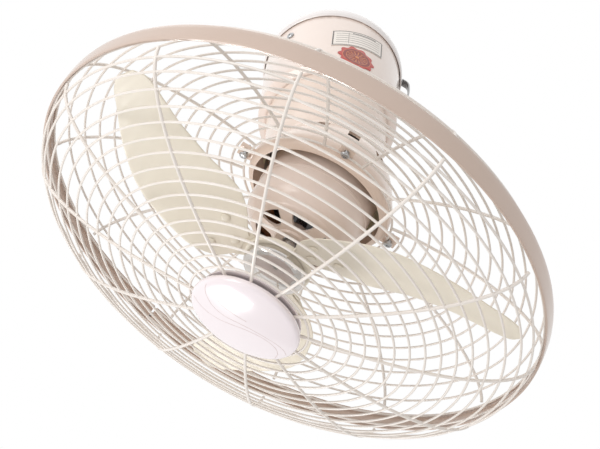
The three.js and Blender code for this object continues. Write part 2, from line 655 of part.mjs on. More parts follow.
function swivelHousing() {
  const neckOf = (wall, extra) => turned([
    [0, -HEAD_DROP + 12 + wall],
    ...neckProfile.map(([radius, height]) => (
      [radius - wall, height + (height === neckTop ? extra : 0)]
    )),
    [0, neckTop + extra],
  ]);
  const bellOf = (wall, mouth) => fromHead(turned([
    ...bellProfile.map(([radius, height], i) => [i ? radius - wall : 0, height + wall * 0.7]),
    ...mouth, [0, mouth[mouth.length - 1][1]],
  ], FINE));
  const lip = [
    [BELL_RADIUS, 2], [BELL_RADIUS - 2.6, BELL_MOUTH - 3.6], [BELL_RADIUS - 5.6, BELL_MOUTH - 0.8],
    [BELL_MOUTH_RADIUS + 1.2, BELL_MOUTH],
  ];
  const throat = [
    [BELL_MOUTH_RADIUS + 2, BELL_MOUTH - 4.5], [BELL_MOUTH_RADIUS, BELL_MOUTH - 2],
    [BELL_MOUTH_RADIUS, BELL_MOUTH + 5],
  ];
  const outer = join([neckOf(0, 0), bellOf(0, lip)]);
  const hollow = join([neckOf(HOUSING_WALL, 5), bellOf(HOUSING_WALL, throat)]);
  const ledge = ring(swivelPlateRadius - 2.5, NECK_WAIST_RADIUS - 1, swivelPlateBottom - TOUCH - 3,
    swivelPlateBottom - TOUCH, ROUND);
  const lugs = [];
  const drills = [];
  for (let i = 0; i < LUG_COUNT; i += 1) {
    const angle = LUG_ANGLE + i * 2 * Math.PI / LUG_COUNT;
    const reach = LUG_REACH - BELL_RADIUS + 3;
    const middle = LUG_REACH - reach / 2;
    lugs.push(fromHead(
      block(reach, LUG_WIDTH, LUG_SHEET, middle, 0, lugTop - LUG_SHEET / 2).rotateZ(angle),
    ));
    drills.push(fromHead(rod(SCREW_HOLE, -20, 20).translate(lugScrewRadius, 0, 0).rotateZ(angle)));
  }
  const slots = [];
  for (let i = 0; i < SLOT_COUNT; i += 1) {
    const angle = SLOT_FIRST + i * SLOT_STEP;
    slots.push(fromHead(
      block(14, SLOT_LENGTH, SLOT_HEIGHT, BELL_RADIUS * 0.803, 0, -BELL_DEPTH * 0.5).rotateZ(angle),
    ));
  }
  const shell = cut(outer, [hollow, ...slots]);
  return cut(join([shell, ledge, ...lugs]), drills);
}
const lugTop = REAR_INNER_HEIGHT - WIRE / 2 - TOUCH;
const lugScrewRadius = REAR_INNER_RADIUS + WIRE / 2 + SCREW_RADIUS + 2 * TOUCH;
add(fan, 'swivel_housing', swivelHousing(), CREAM);

for (let i = 0; i < LUG_COUNT; i += 1) {
  const angle = LUG_ANGLE + i * 2 * Math.PI / LUG_COUNT;
  const part = add(head, `guard_screw_${i + 1}`, screw(14), STEEL);
  part.position.set(lugScrewRadius * Math.cos(angle), lugScrewRadius * Math.sin(angle),
    REAR_INNER_HEIGHT + WIRE / 2 + 2.5 * TOUCH);
}

// bracket that hangs the fan motor under the swivel plate
const LEG_SPAN = 76;
const LEG_WIDTH = 28;
const LEG_TURN = 18;               // width of the flange at the top of a leg
function motorBracket() {
  const foot = MOTOR_REAR - TOUCH;
  const top = swivelPlateBottom - TOUCH;
  const length = HEAD_DROP + top;
  const plate = block(LEG_SPAN + 2, 2 * LEG_WIDTH, BRACKET_SHEET, 0, -4, foot - BRACKET_SHEET / 2);
  const pieces = [fromHead(plate)];
  for (const side of [-1, 1]) {
    const leg = side * (LEG_SPAN - BRACKET_SHEET) / 2;
    const flange = side * (LEG_SPAN - LEG_TURN) / 2;
    pieces.push(block(BRACKET_SHEET, LEG_WIDTH, length, leg, 2, top - length / 2));
    pieces.push(block(LEG_TURN, LEG_WIDTH, BRACKET_SHEET, flange, 2, top - BRACKET_SHEET / 2));
  }
  const motorSide = fromHead(block(4 * LEG_SPAN, 4 * LEG_SPAN, 2 * length, 0, 0, foot + length));
  return cut(join(pieces), [motorSide]);
}
add(fan, 'motor_bracket', motorBracket(), STEEL);

// ---------------------------------------------------------------- fan motor, on the head axis
const coverInside = MOTOR_RADIUS - MOTOR_WALL;
const pocket = BEARING_RADIUS + TOUCH;
const rearFace = MOTOR_REAR + MOTOR_WALL;
add(head, 'motor_rear_cover', turned([
  [0, MOTOR_REAR], [MOTOR_RADIUS - 4, MOTOR_REAR], [MOTOR_RADIUS, MOTOR_REAR + 4],
  [MOTOR_RADIUS, MOTOR_SPLIT - TOUCH / 2], [coverInside, MOTOR_SPLIT - TOUCH / 2],
  [coverInside, MOTOR_REAR + 5], [coverInside - 2.5, rearFace],
  [pocket + MOTOR_WALL, rearFace], [pocket + MOTOR_WALL, rearFace + BEARING_WIDTH],
  [pocket, rearFace + BEARING_WIDTH], [pocket, rearFace], [0, rearFace],
]), CREAM);
add(head, 'rear_bearing', ring(SHAFT_RADIUS + TOUCH, BEARING_RADIUS, rearFace + TOUCH,
  rearFace + BEARING_WIDTH), STEEL);

const frontFace = MOTOR_FRONT - MOTOR_WALL;
function motorFrontCover() {
  const shaftHole = SHAFT_RADIUS + RUNNING + 1;
  const shell = turned([
    [MOTOR_RADIUS, MOTOR_SPLIT + TOUCH / 2], [MOTOR_RADIUS, MOTOR_FRONT - 25.5],
    [MOTOR_RADIUS - 2, MOTOR_FRONT - 19], [MOTOR_RADIUS - 11, MOTOR_FRONT - 8],
    [MOTOR_RADIUS - 14, MOTOR_FRONT - 5.3], [pocket + MOTOR_WALL + 9, MOTOR_FRONT - 1.5],
    [pocket + MOTOR_WALL, MOTOR_FRONT], [pocket + MOTOR_WALL - 1, MOTOR_FRONT + 2],
    [shaftHole, MOTOR_FRONT + 2], [shaftHole, MOTOR_FRONT - 0.5], [pocket, MOTOR_FRONT - 0.5],
    [pocket, frontFace - BEARING_WIDTH], [pocket + MOTOR_WALL, frontFace - BEARING_WIDTH],
    [pocket + MOTOR_WALL, frontFace - 1], [MOTOR_RADIUS - 16, frontFace - 5.5],
    [coverInside - 2.5, MOTOR_FRONT - 20], [coverInside, MOTOR_FRONT - 26],
    [coverInside, MOTOR_SPLIT + TOUCH / 2],
  ]);
  const vents = [];
  for (let i = 0; i < VENT_COUNT; i += 1) {
    const from = i * 2 * Math.PI / VENT_COUNT - VENT_ANGLE / 2;
    const shape = new THREE.Shape();
    shape.absarc(0, 0, VENT_OUTER, from, from + VENT_ANGLE, false);
    shape.absarc(0, 0, VENT_INNER, from + VENT_ANGLE, from, true);
    shape.closePath();
    vents.push(raised(shape, frontFace - 5, MOTOR_FRONT + 5, 3));
  }
  for (const angle of [LUG_ANGLE, LUG_ANGLE + Math.PI]) {
    vents.push(block(12, 11, 9, MOTOR_RADIUS, 0, MOTOR_SPLIT + 10).rotateZ(angle));
  }
  return cut(shell, vents);
}
add(head, 'motor_front_cover', motorFrontCover(), CREAM);
add(head, 'front_bearing', ring(SHAFT_RADIUS + TOUCH, BEARING_RADIUS, MOTOR_FRONT - 1 - BEARING_WIDTH,
  MOTOR_FRONT - 0.5 - TOUCH), STEEL);

const statorBore = ROTOR_RADIUS + AIR_GAP;
const statorOutside = coverInside - TOUCH;
add(head, 'stator_core', ring(statorBore, statorOutside, 0, STATOR_LENGTH, ROUND), LAMINATION);
function winding(low, high) {
  const [inner, outer] = [statorBore + 2.5, statorOutside - 5];
  return turned([
    [inner, low], [outer, low], [outer, high - 3], [outer - 3, high], [inner + 3, high],
    [inner, high - 3],
  ]);
}
add(head, 'stator_winding_front', winding(STATOR_LENGTH + TOUCH, STATOR_LENGTH + 15), COPPER);
add(head, 'stator_winding_rear', winding(TOUCH, 13.5).rotateX(Math.PI), COPPER);

// ---------------------------------------------------------------- rotor
const shaftFit = SHAFT_RADIUS + TOUCH;
const shaftStep = SPIDER_BOSS_REAR - 0.7;
add(head, 'rotor_core', ring(shaftFit, ROTOR_RADIUS, 0, STATOR_LENGTH, ROUND), LAMINATION);
add(head, 'rotor_shaft', turned([
  [0, rearFace + TOUCH], [SHAFT_RADIUS, rearFace + TOUCH], [SHAFT_RADIUS, shaftStep],
  [SHAFT_RADIUS - 1, shaftStep], [SHAFT_RADIUS - 1, SHAFT_END], [0, SHAFT_END],
], SMALL), STEEL);

// Blade outline: radius, leading and trailing angle in degrees. The middle of the chord stays at
// BLADE_PLANE and the chord is sloped, so the trailing edge stands towards the badge.
const BLADE_STATIONS = [
  [0.158, 10, 43], [0.24, -7, 52], [0.345, -13, 48], [0.446, -11, 38.5], [0.542, -9, 31],
  [0.636, -8.7, 23.5], [0.724, -8.9, 15.5], [0.81, -9.8, 8.5], [0.893, -10.6, 2.6],
  [0.958, -10.6, -0.9], [1, -8.6, -4],
].map(([share, lead, trail]) => [SWEEP_RADIUS * share, lead, trail]);
const ARM_STATIONS = [[0.38, 6, 48], [0.58, 5, 49], [0.78, 2, 46], [0.94, 3, 42], [1, 9, 35]]
  .map(([share, lead, trail]) => [SPIDER_ARM_REACH * share, lead, trail]);

function stationAt(stations, radius) {
  let i = 1;
  while (i < stations.length - 1 && stations[i][0] < radius) i += 1;
  const [[r0, a0, b0], [r1, a1, b1]] = [stations[i - 1], stations[i]];
  const share = (radius - r0) / (r1 - r0);
  return [a0 + (a1 - a0) * share, b0 + (b1 - b0) * share];
}

function bladeHeight(radius, angle) {
  const [lead, trail] = stationAt(BLADE_STATIONS, radius);
  const middle = (lead + trail) / 2 * DEGREE;
  const slope = BLADE_ROOT_SLOPE - BLADE_SLOPE_LOSS * radius;
  return BLADE_PLANE + slope * radius * (angle - middle);
}

function bladePoint(radius, angle, offset) {
  return [radius * Math.cos(angle), radius * Math.sin(angle), bladeHeight(radius, angle) + offset];
}

function bladeSheet(stations, across, sheet, offset) {
  return thickGrid(stations.length - 1, across, false, (row, column, side) => {
    const [radius, lead, trail] = stations[row];
    const angle = (lead + (trail - lead) * column / across) * DEGREE;
    return bladePoint(radius, angle, offset + side * sheet / 2);
  }, () => true);
}

const RIVETS = [                          // radius and angle in degrees on each blade
  [SPIDER_ARM_REACH * 0.84, 11], [SPIDER_ARM_REACH * 0.84, 40], [SPIDER_ARM_REACH * 0.58, 27],
];
const armOffset = -(BLADE_SHEET + SPIDER_SHEET) / 2 - TOUCH * 1.2;

function rivetFrame(radius, degrees) {
  const angle = degrees * DEGREE;
  const step = 0.5;
  const middle = new THREE.Vector3(...bladePoint(radius, angle, 0));
  const outward = new THREE.Vector3(...bladePoint(radius + step, angle, 0)).sub(middle);
  const along = new THREE.Vector3(...bladePoint(radius, angle + step / radius, 0)).sub(middle);
  const normal = outward.cross(along).normalize();
  const turn = new THREE.Quaternion().setFromUnitVectors(new THREE.Vector3(0, 0, 1), normal);
  return new THREE.Matrix4().compose(middle, turn, new THREE.Vector3(1, 1, 1));
}

const rivetHoles = () => RIVETS.map(([radius, degrees]) => (
  rod(RIVET_RADIUS + TOUCH, -12, 8).applyMatrix4(rivetFrame(radius, degrees))
));

function bladeSpider() {
  const pieces = [
    ring(SHAFT_RADIUS - 1 + TOUCH, SPIDER_DISC_RADIUS, SPIDER_DISC_TOP - SPIDER_DISC_SHEET,
      SPIDER_DISC_TOP, ROUND),
    ring(SHAFT_RADIUS - 1 + TOUCH, SPIDER_BOSS_RADIUS, SPIDER_BOSS_REAR, SPIDER_DISC_TOP - 1, ROUND),
  ];
  const holes = [];
  for (let i = 0; i < BLADE_COUNT; i += 1) {
    const turn = BLADE_START + i * BLADE_ANGLE;
    pieces.push(bladeSheet(ARM_STATIONS, 3, SPIDER_SHEET, armOffset).rotateZ(turn));
    holes.push(...rivetHoles().map((hole) => hole.rotateZ(turn)));
  }
  return cut(join(pieces), holes);
}
add(head, 'blade_spider', bladeSpider(), BLADE_CREAM);

const rivetTail = -BLADE_SHEET / 2 - SPIDER_SHEET - 4 * TOUCH;
const rivetSeat = BLADE_SHEET / 2 + TOUCH;
const rivetProfile = [
  [0, rivetTail - 1.4], [RIVET_HEAD_RADIUS - 1, rivetTail - 1.4], [RIVET_HEAD_RADIUS - 1, rivetTail],
  [RIVET_RADIUS, rivetTail], [RIVET_RADIUS, rivetSeat], [RIVET_HEAD_RADIUS, rivetSeat],
  [RIVET_HEAD_RADIUS * 0.6, rivetSeat + RIVET_HEAD], [0, rivetSeat + RIVET_HEAD],
];
for (let i = 0; i < BLADE_COUNT; i += 1) {
  const blade = cut(bladeSheet(BLADE_STATIONS, 5, BLADE_SHEET, 0), rivetHoles());
  add(head, `blade_${i + 1}`, blade, BLADE_CREAM).rotation.z = BLADE_START + i * BLADE_ANGLE;
  RIVETS.forEach(([radius, degrees], k) => {
    const part = add(head, `blade_${i + 1}_rivet_${k + 1}`, turned(rivetProfile, TINY), BLADE_CREAM);
    part.applyMatrix4(new THREE.Matrix4().makeRotationZ(BLADE_START + i * BLADE_ANGLE)
      .multiply(rivetFrame(radius, degrees)));
  });
}

const nutSeat = SPIDER_DISC_TOP + TOUCH;
add(head, 'hub_nut', hexNut(SHAFT_RADIUS - 1 + TOUCH, 8.5, nutSeat + 5.5, 5.5), STEEL);
add(head, 'hub_cap', turned([
  [0, nutSeat + CAP_HEIGHT], [12, nutSeat + CAP_HEIGHT - 0.7], [21, nutSeat + CAP_HEIGHT - 2.9],
  [CAP_RADIUS - 1.6, nutSeat + CAP_HEIGHT - 6.4], [CAP_RADIUS, nutSeat + CAP_HEIGHT - 9],
  [CAP_RADIUS - CAP_TAPER, nutSeat], [CAP_RADIUS - CAP_WALL - CAP_TAPER, nutSeat],
  [CAP_RADIUS - CAP_WALL, nutSeat + CAP_HEIGHT - 9], [19, nutSeat + CAP_HEIGHT - 5.2],
  [0, nutSeat + CAP_HEIGHT - CAP_WALL],
]), CHROME);

// ---------------------------------------------------------------- wire cage
// The front dome and the rear bowl: points [radius, height] from the middle out to the rim.
function frontHeight(radius) {
  const share = Math.min(1, radius / CAGE_RADIUS);
  return FRONT_EDGE + FRONT_BULGE * (1 - share ** (2 * FRONT_FULLNESS)) ** (1 / 2.2);
}

function frontProfile(steps = 60) {
  const start = Math.asin((FRONT_INNER_RADIUS / CAGE_RADIUS) ** FRONT_FULLNESS);
  return Array.from({ length: steps + 1 }, (_, i) => {
    const turn = start + (Math.PI / 2 - start) * i / steps;
    const radius = CAGE_RADIUS * Math.sin(turn) ** (1 / FRONT_FULLNESS);
    return [radius, frontHeight(radius)];
  });
}

function rearProfile(steps = 60) {
  return Array.from({ length: steps + 1 }, (_, i) => {
    const turn = Math.PI / 2 * i / steps;
    return [REAR_INNER_RADIUS + (CAGE_RADIUS - REAR_INNER_RADIUS) * Math.sin(turn) ** 1.15,
      REAR_EDGE - (REAR_EDGE - REAR_INNER_HEIGHT) * Math.max(0, Math.cos(turn)) ** 1.15];
  });
}

// Rings spread evenly along a profile, tied together by radial ribs.
function wireCage(profile, ringCount) {
  const reach = [0];
  for (let i = 1; i < profile.length; i += 1) {
    const [from, to] = [profile[i - 1], profile[i]];
    reach.push(reach[i - 1] + Math.hypot(to[0] - from[0], to[1] - from[1]));
  }
  const total = reach[reach.length - 1];
  const onProfile = (distance) => {
    let i = 1;
    while (i < reach.length - 1 && reach[i] < distance) i += 1;
    const share = (distance - reach[i - 1]) / (reach[i] - reach[i - 1]);
    const [from, to] = [profile[i - 1], profile[i]];
    const step = reach[i] - reach[i - 1];
    return {
      radius: from[0] + (to[0] - from[0]) * share,
      height: from[1] + (to[1] - from[1]) * share,
      normal: [-(to[1] - from[1]) / step, (to[0] - from[0]) / step],
    };
  };
  const edges = [];
  for (let i = 0; i < ringCount; i += 1) {
    const middle = total * i / (ringCount - 1);
    edges.push(onProfile(middle - WIRE / 2), onProfile(middle + WIRE / 2));
  }
  const perRib = 3;                      // one column on the rib, two across to the next
  const columns = RIB_COUNT * perRib;
  const angleAt = (column, radius) => {
    const rib = Math.floor(column / perRib);
    const place = column % perRib;
    const halfRib = Math.asin(RIB_WIDTH / 2 / radius);
    const shift = [-halfRib, halfRib, Math.PI / RIB_COUNT][place];
    return RIB_PHASE + rib * 2 * Math.PI / RIB_COUNT + shift;
  };
  return thickGrid(edges.length - 1, columns, true, (row, column, side) => {
    const { radius, height, normal } = edges[row];
    const angle = angleAt(column, radius);
    const away = radius + side * normal[0] * WIRE / 2;
    return [away * Math.cos(angle), away * Math.sin(angle), height + side * normal[1] * WIRE / 2];
  }, (row, column) => row % 2 === 0 || column % perRib === 0);
}
add(head, 'front_guard', wireCage(frontProfile(), FRONT_RING_COUNT), WIRE_WHITE);
add(head, 'rear_guard', wireCage(rearProfile(), REAR_RING_COUNT), WIRE_WHITE);

// rim band that clamps both halves of the cage, split at one place and drawn together by a screw
const clampMiddle = RIM_REAR + RIM_WIDTH / 2;
function rimBand() {
  const inside = RIM_RADIUS - RIM_SHEET;
  const front = RIM_REAR + RIM_WIDTH;
  const edge = RIM_RADIUS - RIM_CROWN;
  const band = turned([
    [inside, RIM_REAR], [edge, RIM_REAR], [RIM_RADIUS, RIM_REAR + 5],
    [RIM_RADIUS, front - 5], [edge, front], [inside, front],
  ], FINE);
  const ears = [-1, 1].map((side) => (
    block(CLAMP_EAR + 1, CLAMP_EAR_SHEET, CLAMP_EAR_WIDTH, RIM_RADIUS + CLAMP_EAR / 2 - 1,
      side * (CLAMP_GAP + CLAMP_EAR_SHEET) / 2, clampMiddle)
  ));
  const split = block(20, CLAMP_GAP, RIM_WIDTH + 4, RIM_RADIUS, 0, clampMiddle);
  const drill = rod(SCREW_HOLE, -15, 15).rotateX(Math.PI / 2)
    .translate(RIM_RADIUS + CLAMP_EAR / 2, 0, clampMiddle);
  return cut(join([band.rotateZ(Math.PI / FINE), ...ears]), [split, drill]).rotateZ(CLAMP_ANGLE);
}
add(head, 'rim_band', rimBand(), RIM_BEIGE);

const clamp = new THREE.Group();
clamp.rotation.z = CLAMP_ANGLE;
head.add(clamp);
const earOutside = CLAMP_GAP / 2 + CLAMP_EAR_SHEET + TOUCH;
const bandScrew = add(clamp, 'band_screw', screw(2 * earOutside + 5), STEEL);
bandScrew.position.set(RIM_RADIUS + CLAMP_EAR / 2, earOutside, clampMiddle);
bandScrew.rotation.x = -Math.PI / 2;
const bandNut = add(clamp, 'band_nut', hexNut(SCREW_HOLE, 4, 3, 3), STEEL);
bandNut.position.set(RIM_RADIUS + CLAMP_EAR / 2, -earOutside - 3, clampMiddle);
bandNut.rotation.x = -Math.PI / 2;

// ---------------------------------------------------------------- badge in the middle of the cage
const cageFront = frontHeight(FRONT_INNER_RADIUS) + WIRE / 2;
const badgeSeat = cageFront + TOUCH;
const backingTop = cageFront - 2 * WIRE - 2 * TOUCH;
const badgeTop = badgeSeat + BADGE_DOME;
add(head, 'badge', turned([
  [0, badgeTop], [22, badgeTop - 0.8], [40, badgeTop - 2.8],
  [BADGE_RADIUS - 3, badgeTop - 5], [BADGE_RADIUS, badgeSeat + BADGE_EDGE],
  [BADGE_RADIUS - 0.6, badgeSeat + 2.6], [BADGE_RADIUS - 2.4, badgeSeat],
  [BADGE_RADIUS - 2.4 - BADGE_WALL, badgeSeat], [BADGE_RADIUS - 3.4, badgeSeat + BADGE_EDGE - 0.6],
  [38, badgeTop - 5], [BADGE_BOSS_RADIUS, badgeTop - 3],
  [BADGE_BOSS_RADIUS, backingTop + TOUCH], [SCREW_HOLE, backingTop + TOUCH],
  [SCREW_HOLE, badgeSeat + 2], [0, badgeSeat + 2],
]), BADGE_WHITE);
add(head, 'badge_backing', turned([
  [SCREW_HOLE, backingTop], [SCREW_HOLE, backingTop - BACKING_SHEET],
  [BACKING_RADIUS - 1, backingTop - BACKING_SHEET], [BACKING_RADIUS, backingTop - BACKING_SHEET + 1],
  [BACKING_RADIUS, backingTop],
]), BADGE_WHITE);
const badgeScrew = add(head, 'badge_screw', screw(BACKING_SHEET + 8), STEEL);
badgeScrew.rotation.x = Math.PI;
badgeScrew.position.z = backingTop - BACKING_SHEET - TOUCH;

export default fan;
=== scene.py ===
"""An orbital ceiling fan seen from below: canopy, turning neck and bell, and a leaning caged head."""

import math
from functools import partial

import bmesh
import bpy
from mathutils import Matrix, Vector


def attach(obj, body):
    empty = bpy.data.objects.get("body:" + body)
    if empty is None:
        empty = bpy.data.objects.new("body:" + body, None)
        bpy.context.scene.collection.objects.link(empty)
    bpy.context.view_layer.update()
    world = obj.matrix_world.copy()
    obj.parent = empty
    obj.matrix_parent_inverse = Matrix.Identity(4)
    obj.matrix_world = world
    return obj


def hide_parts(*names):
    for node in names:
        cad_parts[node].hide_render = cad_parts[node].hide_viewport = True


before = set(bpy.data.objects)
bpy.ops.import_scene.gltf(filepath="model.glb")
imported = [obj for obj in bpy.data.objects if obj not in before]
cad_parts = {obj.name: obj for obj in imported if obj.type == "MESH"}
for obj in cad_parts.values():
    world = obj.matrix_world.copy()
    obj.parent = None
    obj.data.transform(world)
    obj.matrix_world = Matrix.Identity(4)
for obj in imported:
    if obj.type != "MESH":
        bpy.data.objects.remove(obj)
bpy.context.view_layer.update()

MM = 0.001
TURN = 2 * math.pi
SPINDLE_HOLE = 8.3
SCREW_HOLE = 2.2
GEAR_SPAN = 24.2
TILT = math.radians(26)
HEAD = Matrix.Translation((0, 0, -260)) @ Matrix.Rotation(math.pi - TILT, 4, "X")


# ------------------------------------------------------------------ modelling helpers (millimetres)
def flowing(points, spans=4):
    """More points along a smooth line through these, given as tuples of any one length."""
    line = [Vector(point) for point in points]
    line = [2 * line[0] - line[1], *line, 2 * line[-1] - line[-2]]
    result = []
    for a, b, c, d in zip(line, line[1:], line[2:], line[3:]):
        for step in range(spans):
            t = step / spans
            result.append(tuple(0.5 * (
                2 * b + (c - a) * t + (2 * a - 5 * b + 4 * c - d) * t**2 + (3 * b - a - 3 * c + d) * t**3
            )))
    return result + [tuple(points[-1])]


def polar(radius, angle):
    return radius * math.cos(angle), radius * math.sin(angle)


def outward(bm):
    """The mesh with its faces pointing out."""
    bmesh.ops.recalc_face_normals(bm, faces=bm.faces)
    return bm


def cleaned(bm, near=0.001):
    """The mesh with doubles merged, slivers gone and faces pointing out."""
    bmesh.ops.remove_doubles(bm, verts=bm.verts, dist=near)
    bmesh.ops.dissolve_degenerate(bm, edges=bm.edges, dist=0.0005)
    return outward(bm)


def turned(profile, steps=128, closed=True):
    """A profile of (radius, height) pairs spun once round Z."""
    bm = bmesh.new()
    corners = [bm.verts.new((max(radius, 0), 0, height)) for radius, height in profile]
    line = [bm.edges.new(pair) for pair in zip(corners, corners[1:])]
    if closed:
        line.append(bm.edges.new((corners[-1], corners[0])))
    bmesh.ops.spin(
        bm, geom=corners + line, axis=(0, 0, 1), cent=(0, 0, 0), angle=TURN, steps=steps, use_merge=True
    )
    return cleaned(bm)


def raised(outline, low, high):
    """A flat outline in X and Y given a thickness from low to high."""
    bm = bmesh.new()
    base = bm.faces.new([bm.verts.new((x, y, low)) for x, y in outline])
    made = bmesh.ops.extrude_face_region(bm, geom=[base], use_keep_orig=True)["geom"]
    top = [item for item in made if isinstance(item, bmesh.types.BMVert)]
    bmesh.ops.translate(bm, vec=(0, 0, high - low), verts=top)
    return outward(bm)


def soften(bm, width, segments=3, angle=28):
    """Rounds every edge that is sharper than the angle."""
    limit = math.radians(angle)
    sharp = [edge for edge in bm.edges if len(edge.link_faces) == 2 and edge.calc_face_angle() > limit]
    bmesh.ops.bevel(
        bm, geom=sharp, offset=width, offset_type="OFFSET", affect="EDGES", segments=segments,
        profile=0.5, material=-1, clamp_overlap=True,
    )
    return bm


def merged(*parts):
    """Several meshes in one, each left as it is."""
    whole = bmesh.new()
    for part in parts:
        holder = bpy.data.meshes.new("holder")
        part.to_mesh(holder)
        whole.from_mesh(holder)
        part.free()
        bpy.data.meshes.remove(holder)
    return whole


def shaped(bm, settings):
    """The mesh after a list of modifiers, each given as (type, values)."""
    holder = bpy.data.meshes.new("holder")
    bm.to_mesh(holder)
    bm.free()
    carrier = bpy.data.objects.new("carrier", holder)
    bpy.context.scene.collection.objects.link(carrier)
    for kind, values in settings:
        modifier = carrier.modifiers.new(kind.lower(), kind)
        for key, value in values.items():
            setattr(modifier, key, value)
    seen = carrier.evaluated_get(bpy.context.evaluated_depsgraph_get())
    result = bmesh.new()
    result.from_mesh(seen.to_mesh())
    seen.to_mesh_clear()
    bpy.data.objects.remove(carrier)
    bpy.data.meshes.remove(holder)
    return result


def combined(bm, tool, operation="DIFFERENCE"):
    """One solid cut by, or joined with, another."""
    holder = bpy.data.meshes.new("tool")
    tool.to_mesh(holder)
    tool.free()
    cutter = bpy.data.objects.new("tool", holder)
    bpy.context.scene.collection.objects.link(cutter)
    result = shaped(bm, [("BOOLEAN", {"operation": operation, "solver": "EXACT", "object": cutter})])
    bpy.data.objects.remove(cutter)
    bpy.data.meshes.remove(holder)
    return result


def moved(bm, matrix):
    bmesh.ops.transform(bm, matrix=matrix, verts=bm.verts)
    return bm


def rod(radius, low, high, segments=48, place=None):
    """A round bar or drill along Z."""
    bm = bmesh.new()
    middle = Matrix.Translation((0, 0, (low + high) / 2))
    bmesh.ops.create_cone(
        bm, cap_ends=True, segments=segments, radius1=radius, radius2=radius, depth=high - low,
        matrix=(place or Matrix()) @ middle,
    )
    return bm


def slab(size, place=None):
    bm = bmesh.new()
    bmesh.ops.create_cube(bm, size=1, matrix=(place or Matrix()) @ Matrix.Diagonal((*size, 1)))
    return bm


def at(x, y, z):
    return Matrix.Translation((x, y, z))


def about(axis, angle):
    return Matrix.Rotation(math.radians(angle), 4, axis)


def repeated(bm, count, start=None):
    """Copies of everything in the mesh, spread evenly round Z."""
    bmesh.ops.spin(
        bm, geom=bm.verts[:] + bm.edges[:] + bm.faces[:], axis=(0, 0, 1), cent=(0, 0, 0),
        angle=TURN * (count - 1) / count, steps=count - 1, use_duplicate=True,
    )
    return bm


def wire_ring(bm, radius, height, thickness, steps=168, sides=8):
    """A closed round wire about Z."""
    section = bmesh.ops.create_circle(
        bm, segments=sides, radius=thickness / 2, matrix=at(radius, 0, height) @ about("X", 90),
    )["verts"]
    hoop = list({edge for vert in section for edge in vert.link_edges})
    bmesh.ops.spin(
        bm, geom=section + hoop, axis=(0, 0, 1), cent=(0, 0, 0), angle=TURN, steps=steps, use_merge=True
    )


def drawn(points, thickness, sides=8, side=None):
    """A wire with capped ends along a path: its section is extruded from point to point."""
    bm = bmesh.new()
    points = [Vector(point) for point in points]
    frames = []
    for i, point in enumerate(points):
        ahead = (points[min(i + 1, len(points) - 1)] - points[max(i - 1, 0)]).normalized()
        first = (side or Vector((0, 0, 1))).cross(ahead).normalized()
        spin = Matrix((first, ahead.cross(first), ahead)).transposed().to_4x4()
        frames.append(Matrix.Translation(point) @ spin)
    section = bmesh.ops.create_circle(
        bm, cap_ends=True, segments=sides, radius=thickness / 2, matrix=frames[0]
    )["verts"]
    hoop = list({edge for vert in section for edge in vert.link_edges})
    for before, after in zip(frames, frames[1:]):
        made = bmesh.ops.extrude_edge_only(bm, edges=hoop)["geom"]
        section = [item for item in made if isinstance(item, bmesh.types.BMVert)]
        fresh = set(section)
        hoop = [
            item for item in made
            if isinstance(item, bmesh.types.BMEdge) and all(vert in fresh for vert in item.verts)
        ]
        bmesh.ops.transform(bm, matrix=after @ before.inverted(), verts=section)
    bmesh.ops.contextual_create(bm, geom=hoop)
    return outward(bm)


def strip(centre, width, sheet):
    """A bent strip: a centre line in X and Z, given a sheet thickness and a width along Y."""
    line = [Vector((x, 0, z)) for x, z in centre]
    near, far = [], []
    for i, point in enumerate(line):
        ahead = (line[min(i + 1, len(line) - 1)] - line[max(i - 1, 0)]).normalized()
        normal = Vector((ahead.z, 0, -ahead.x)) * sheet / 2
        near.append(point + normal)
        far.append(point - normal)
    outline = [(point.x, point.z) for point in near + far[::-1]]
    return moved(raised(outline, -width / 2, width / 2), about("X", 90))


def laid_grid(rows, columns, point_at):
    """A grid whose points lie at point_at(u, v), with u and v from 0 to 1."""
    bm = bmesh.new()
    bmesh.ops.create_grid(bm, x_segments=rows, y_segments=columns, size=0.5)
    for vert in bm.verts:
        vert.co = point_at(vert.co.x + 0.5, vert.co.y + 0.5)
    return bm


def sheet_of(rows, columns, point_at, thickness):
    """A curved sheet with an even thickness."""
    settings = {"thickness": thickness, "offset": 0, "use_even_offset": True}
    return shaped(outward(laid_grid(rows, columns, point_at)), [("SOLIDIFY", settings)])


def piece(name, bm, body, finish, node, place=None, smooth=34):
    """Puts a finished mesh in the scene, in metres, on its body and in place of its CAD node."""
    if place is not None:
        moved(bm, place)
    bmesh.ops.scale(bm, vec=(MM, MM, MM), verts=bm.verts)
    mesh = bpy.data.meshes.new(name)
    bm.to_mesh(mesh)
    bm.free()
    mesh.shade_smooth()
    mesh.set_sharp_from_angle(angle=math.radians(smooth))
    for material in finish if isinstance(finish, list) else [finish]:
        mesh.materials.append(material)
    item = bpy.data.objects.new(name, mesh)
    bpy.context.scene.collection.objects.link(item)
    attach(item, body)
    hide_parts(node)


# ------------------------------------------------------------------ finishes
def effect(name, inputs):
    """A shader node group with named inputs, and colour, roughness and height still to be joined."""
    group = bpy.data.node_groups.new(name, "ShaderNodeTree")
    for label, value in inputs.items():
        kind = "Float" if isinstance(value, float) else {3: "Vector", 4: "Color"}[len(value)]
        socket = group.interface.new_socket(name=label, in_out="INPUT", socket_type="NodeSocket" + kind)
        socket.default_value = value
    for label, kind in (("Colour", "Color"), ("Roughness", "Float"), ("Height", "Float")):
        group.interface.new_socket(name=label, in_out="OUTPUT", socket_type="NodeSocket" + kind)
    return group, group.nodes.new("NodeGroupInput").outputs, group.nodes.new("NodeGroupOutput").inputs


def joined(group, results, *values):
    """The group once its colour, roughness and height are joined."""
    for socket, value in zip(results, values):
        group.links.new(value, socket)
    return group


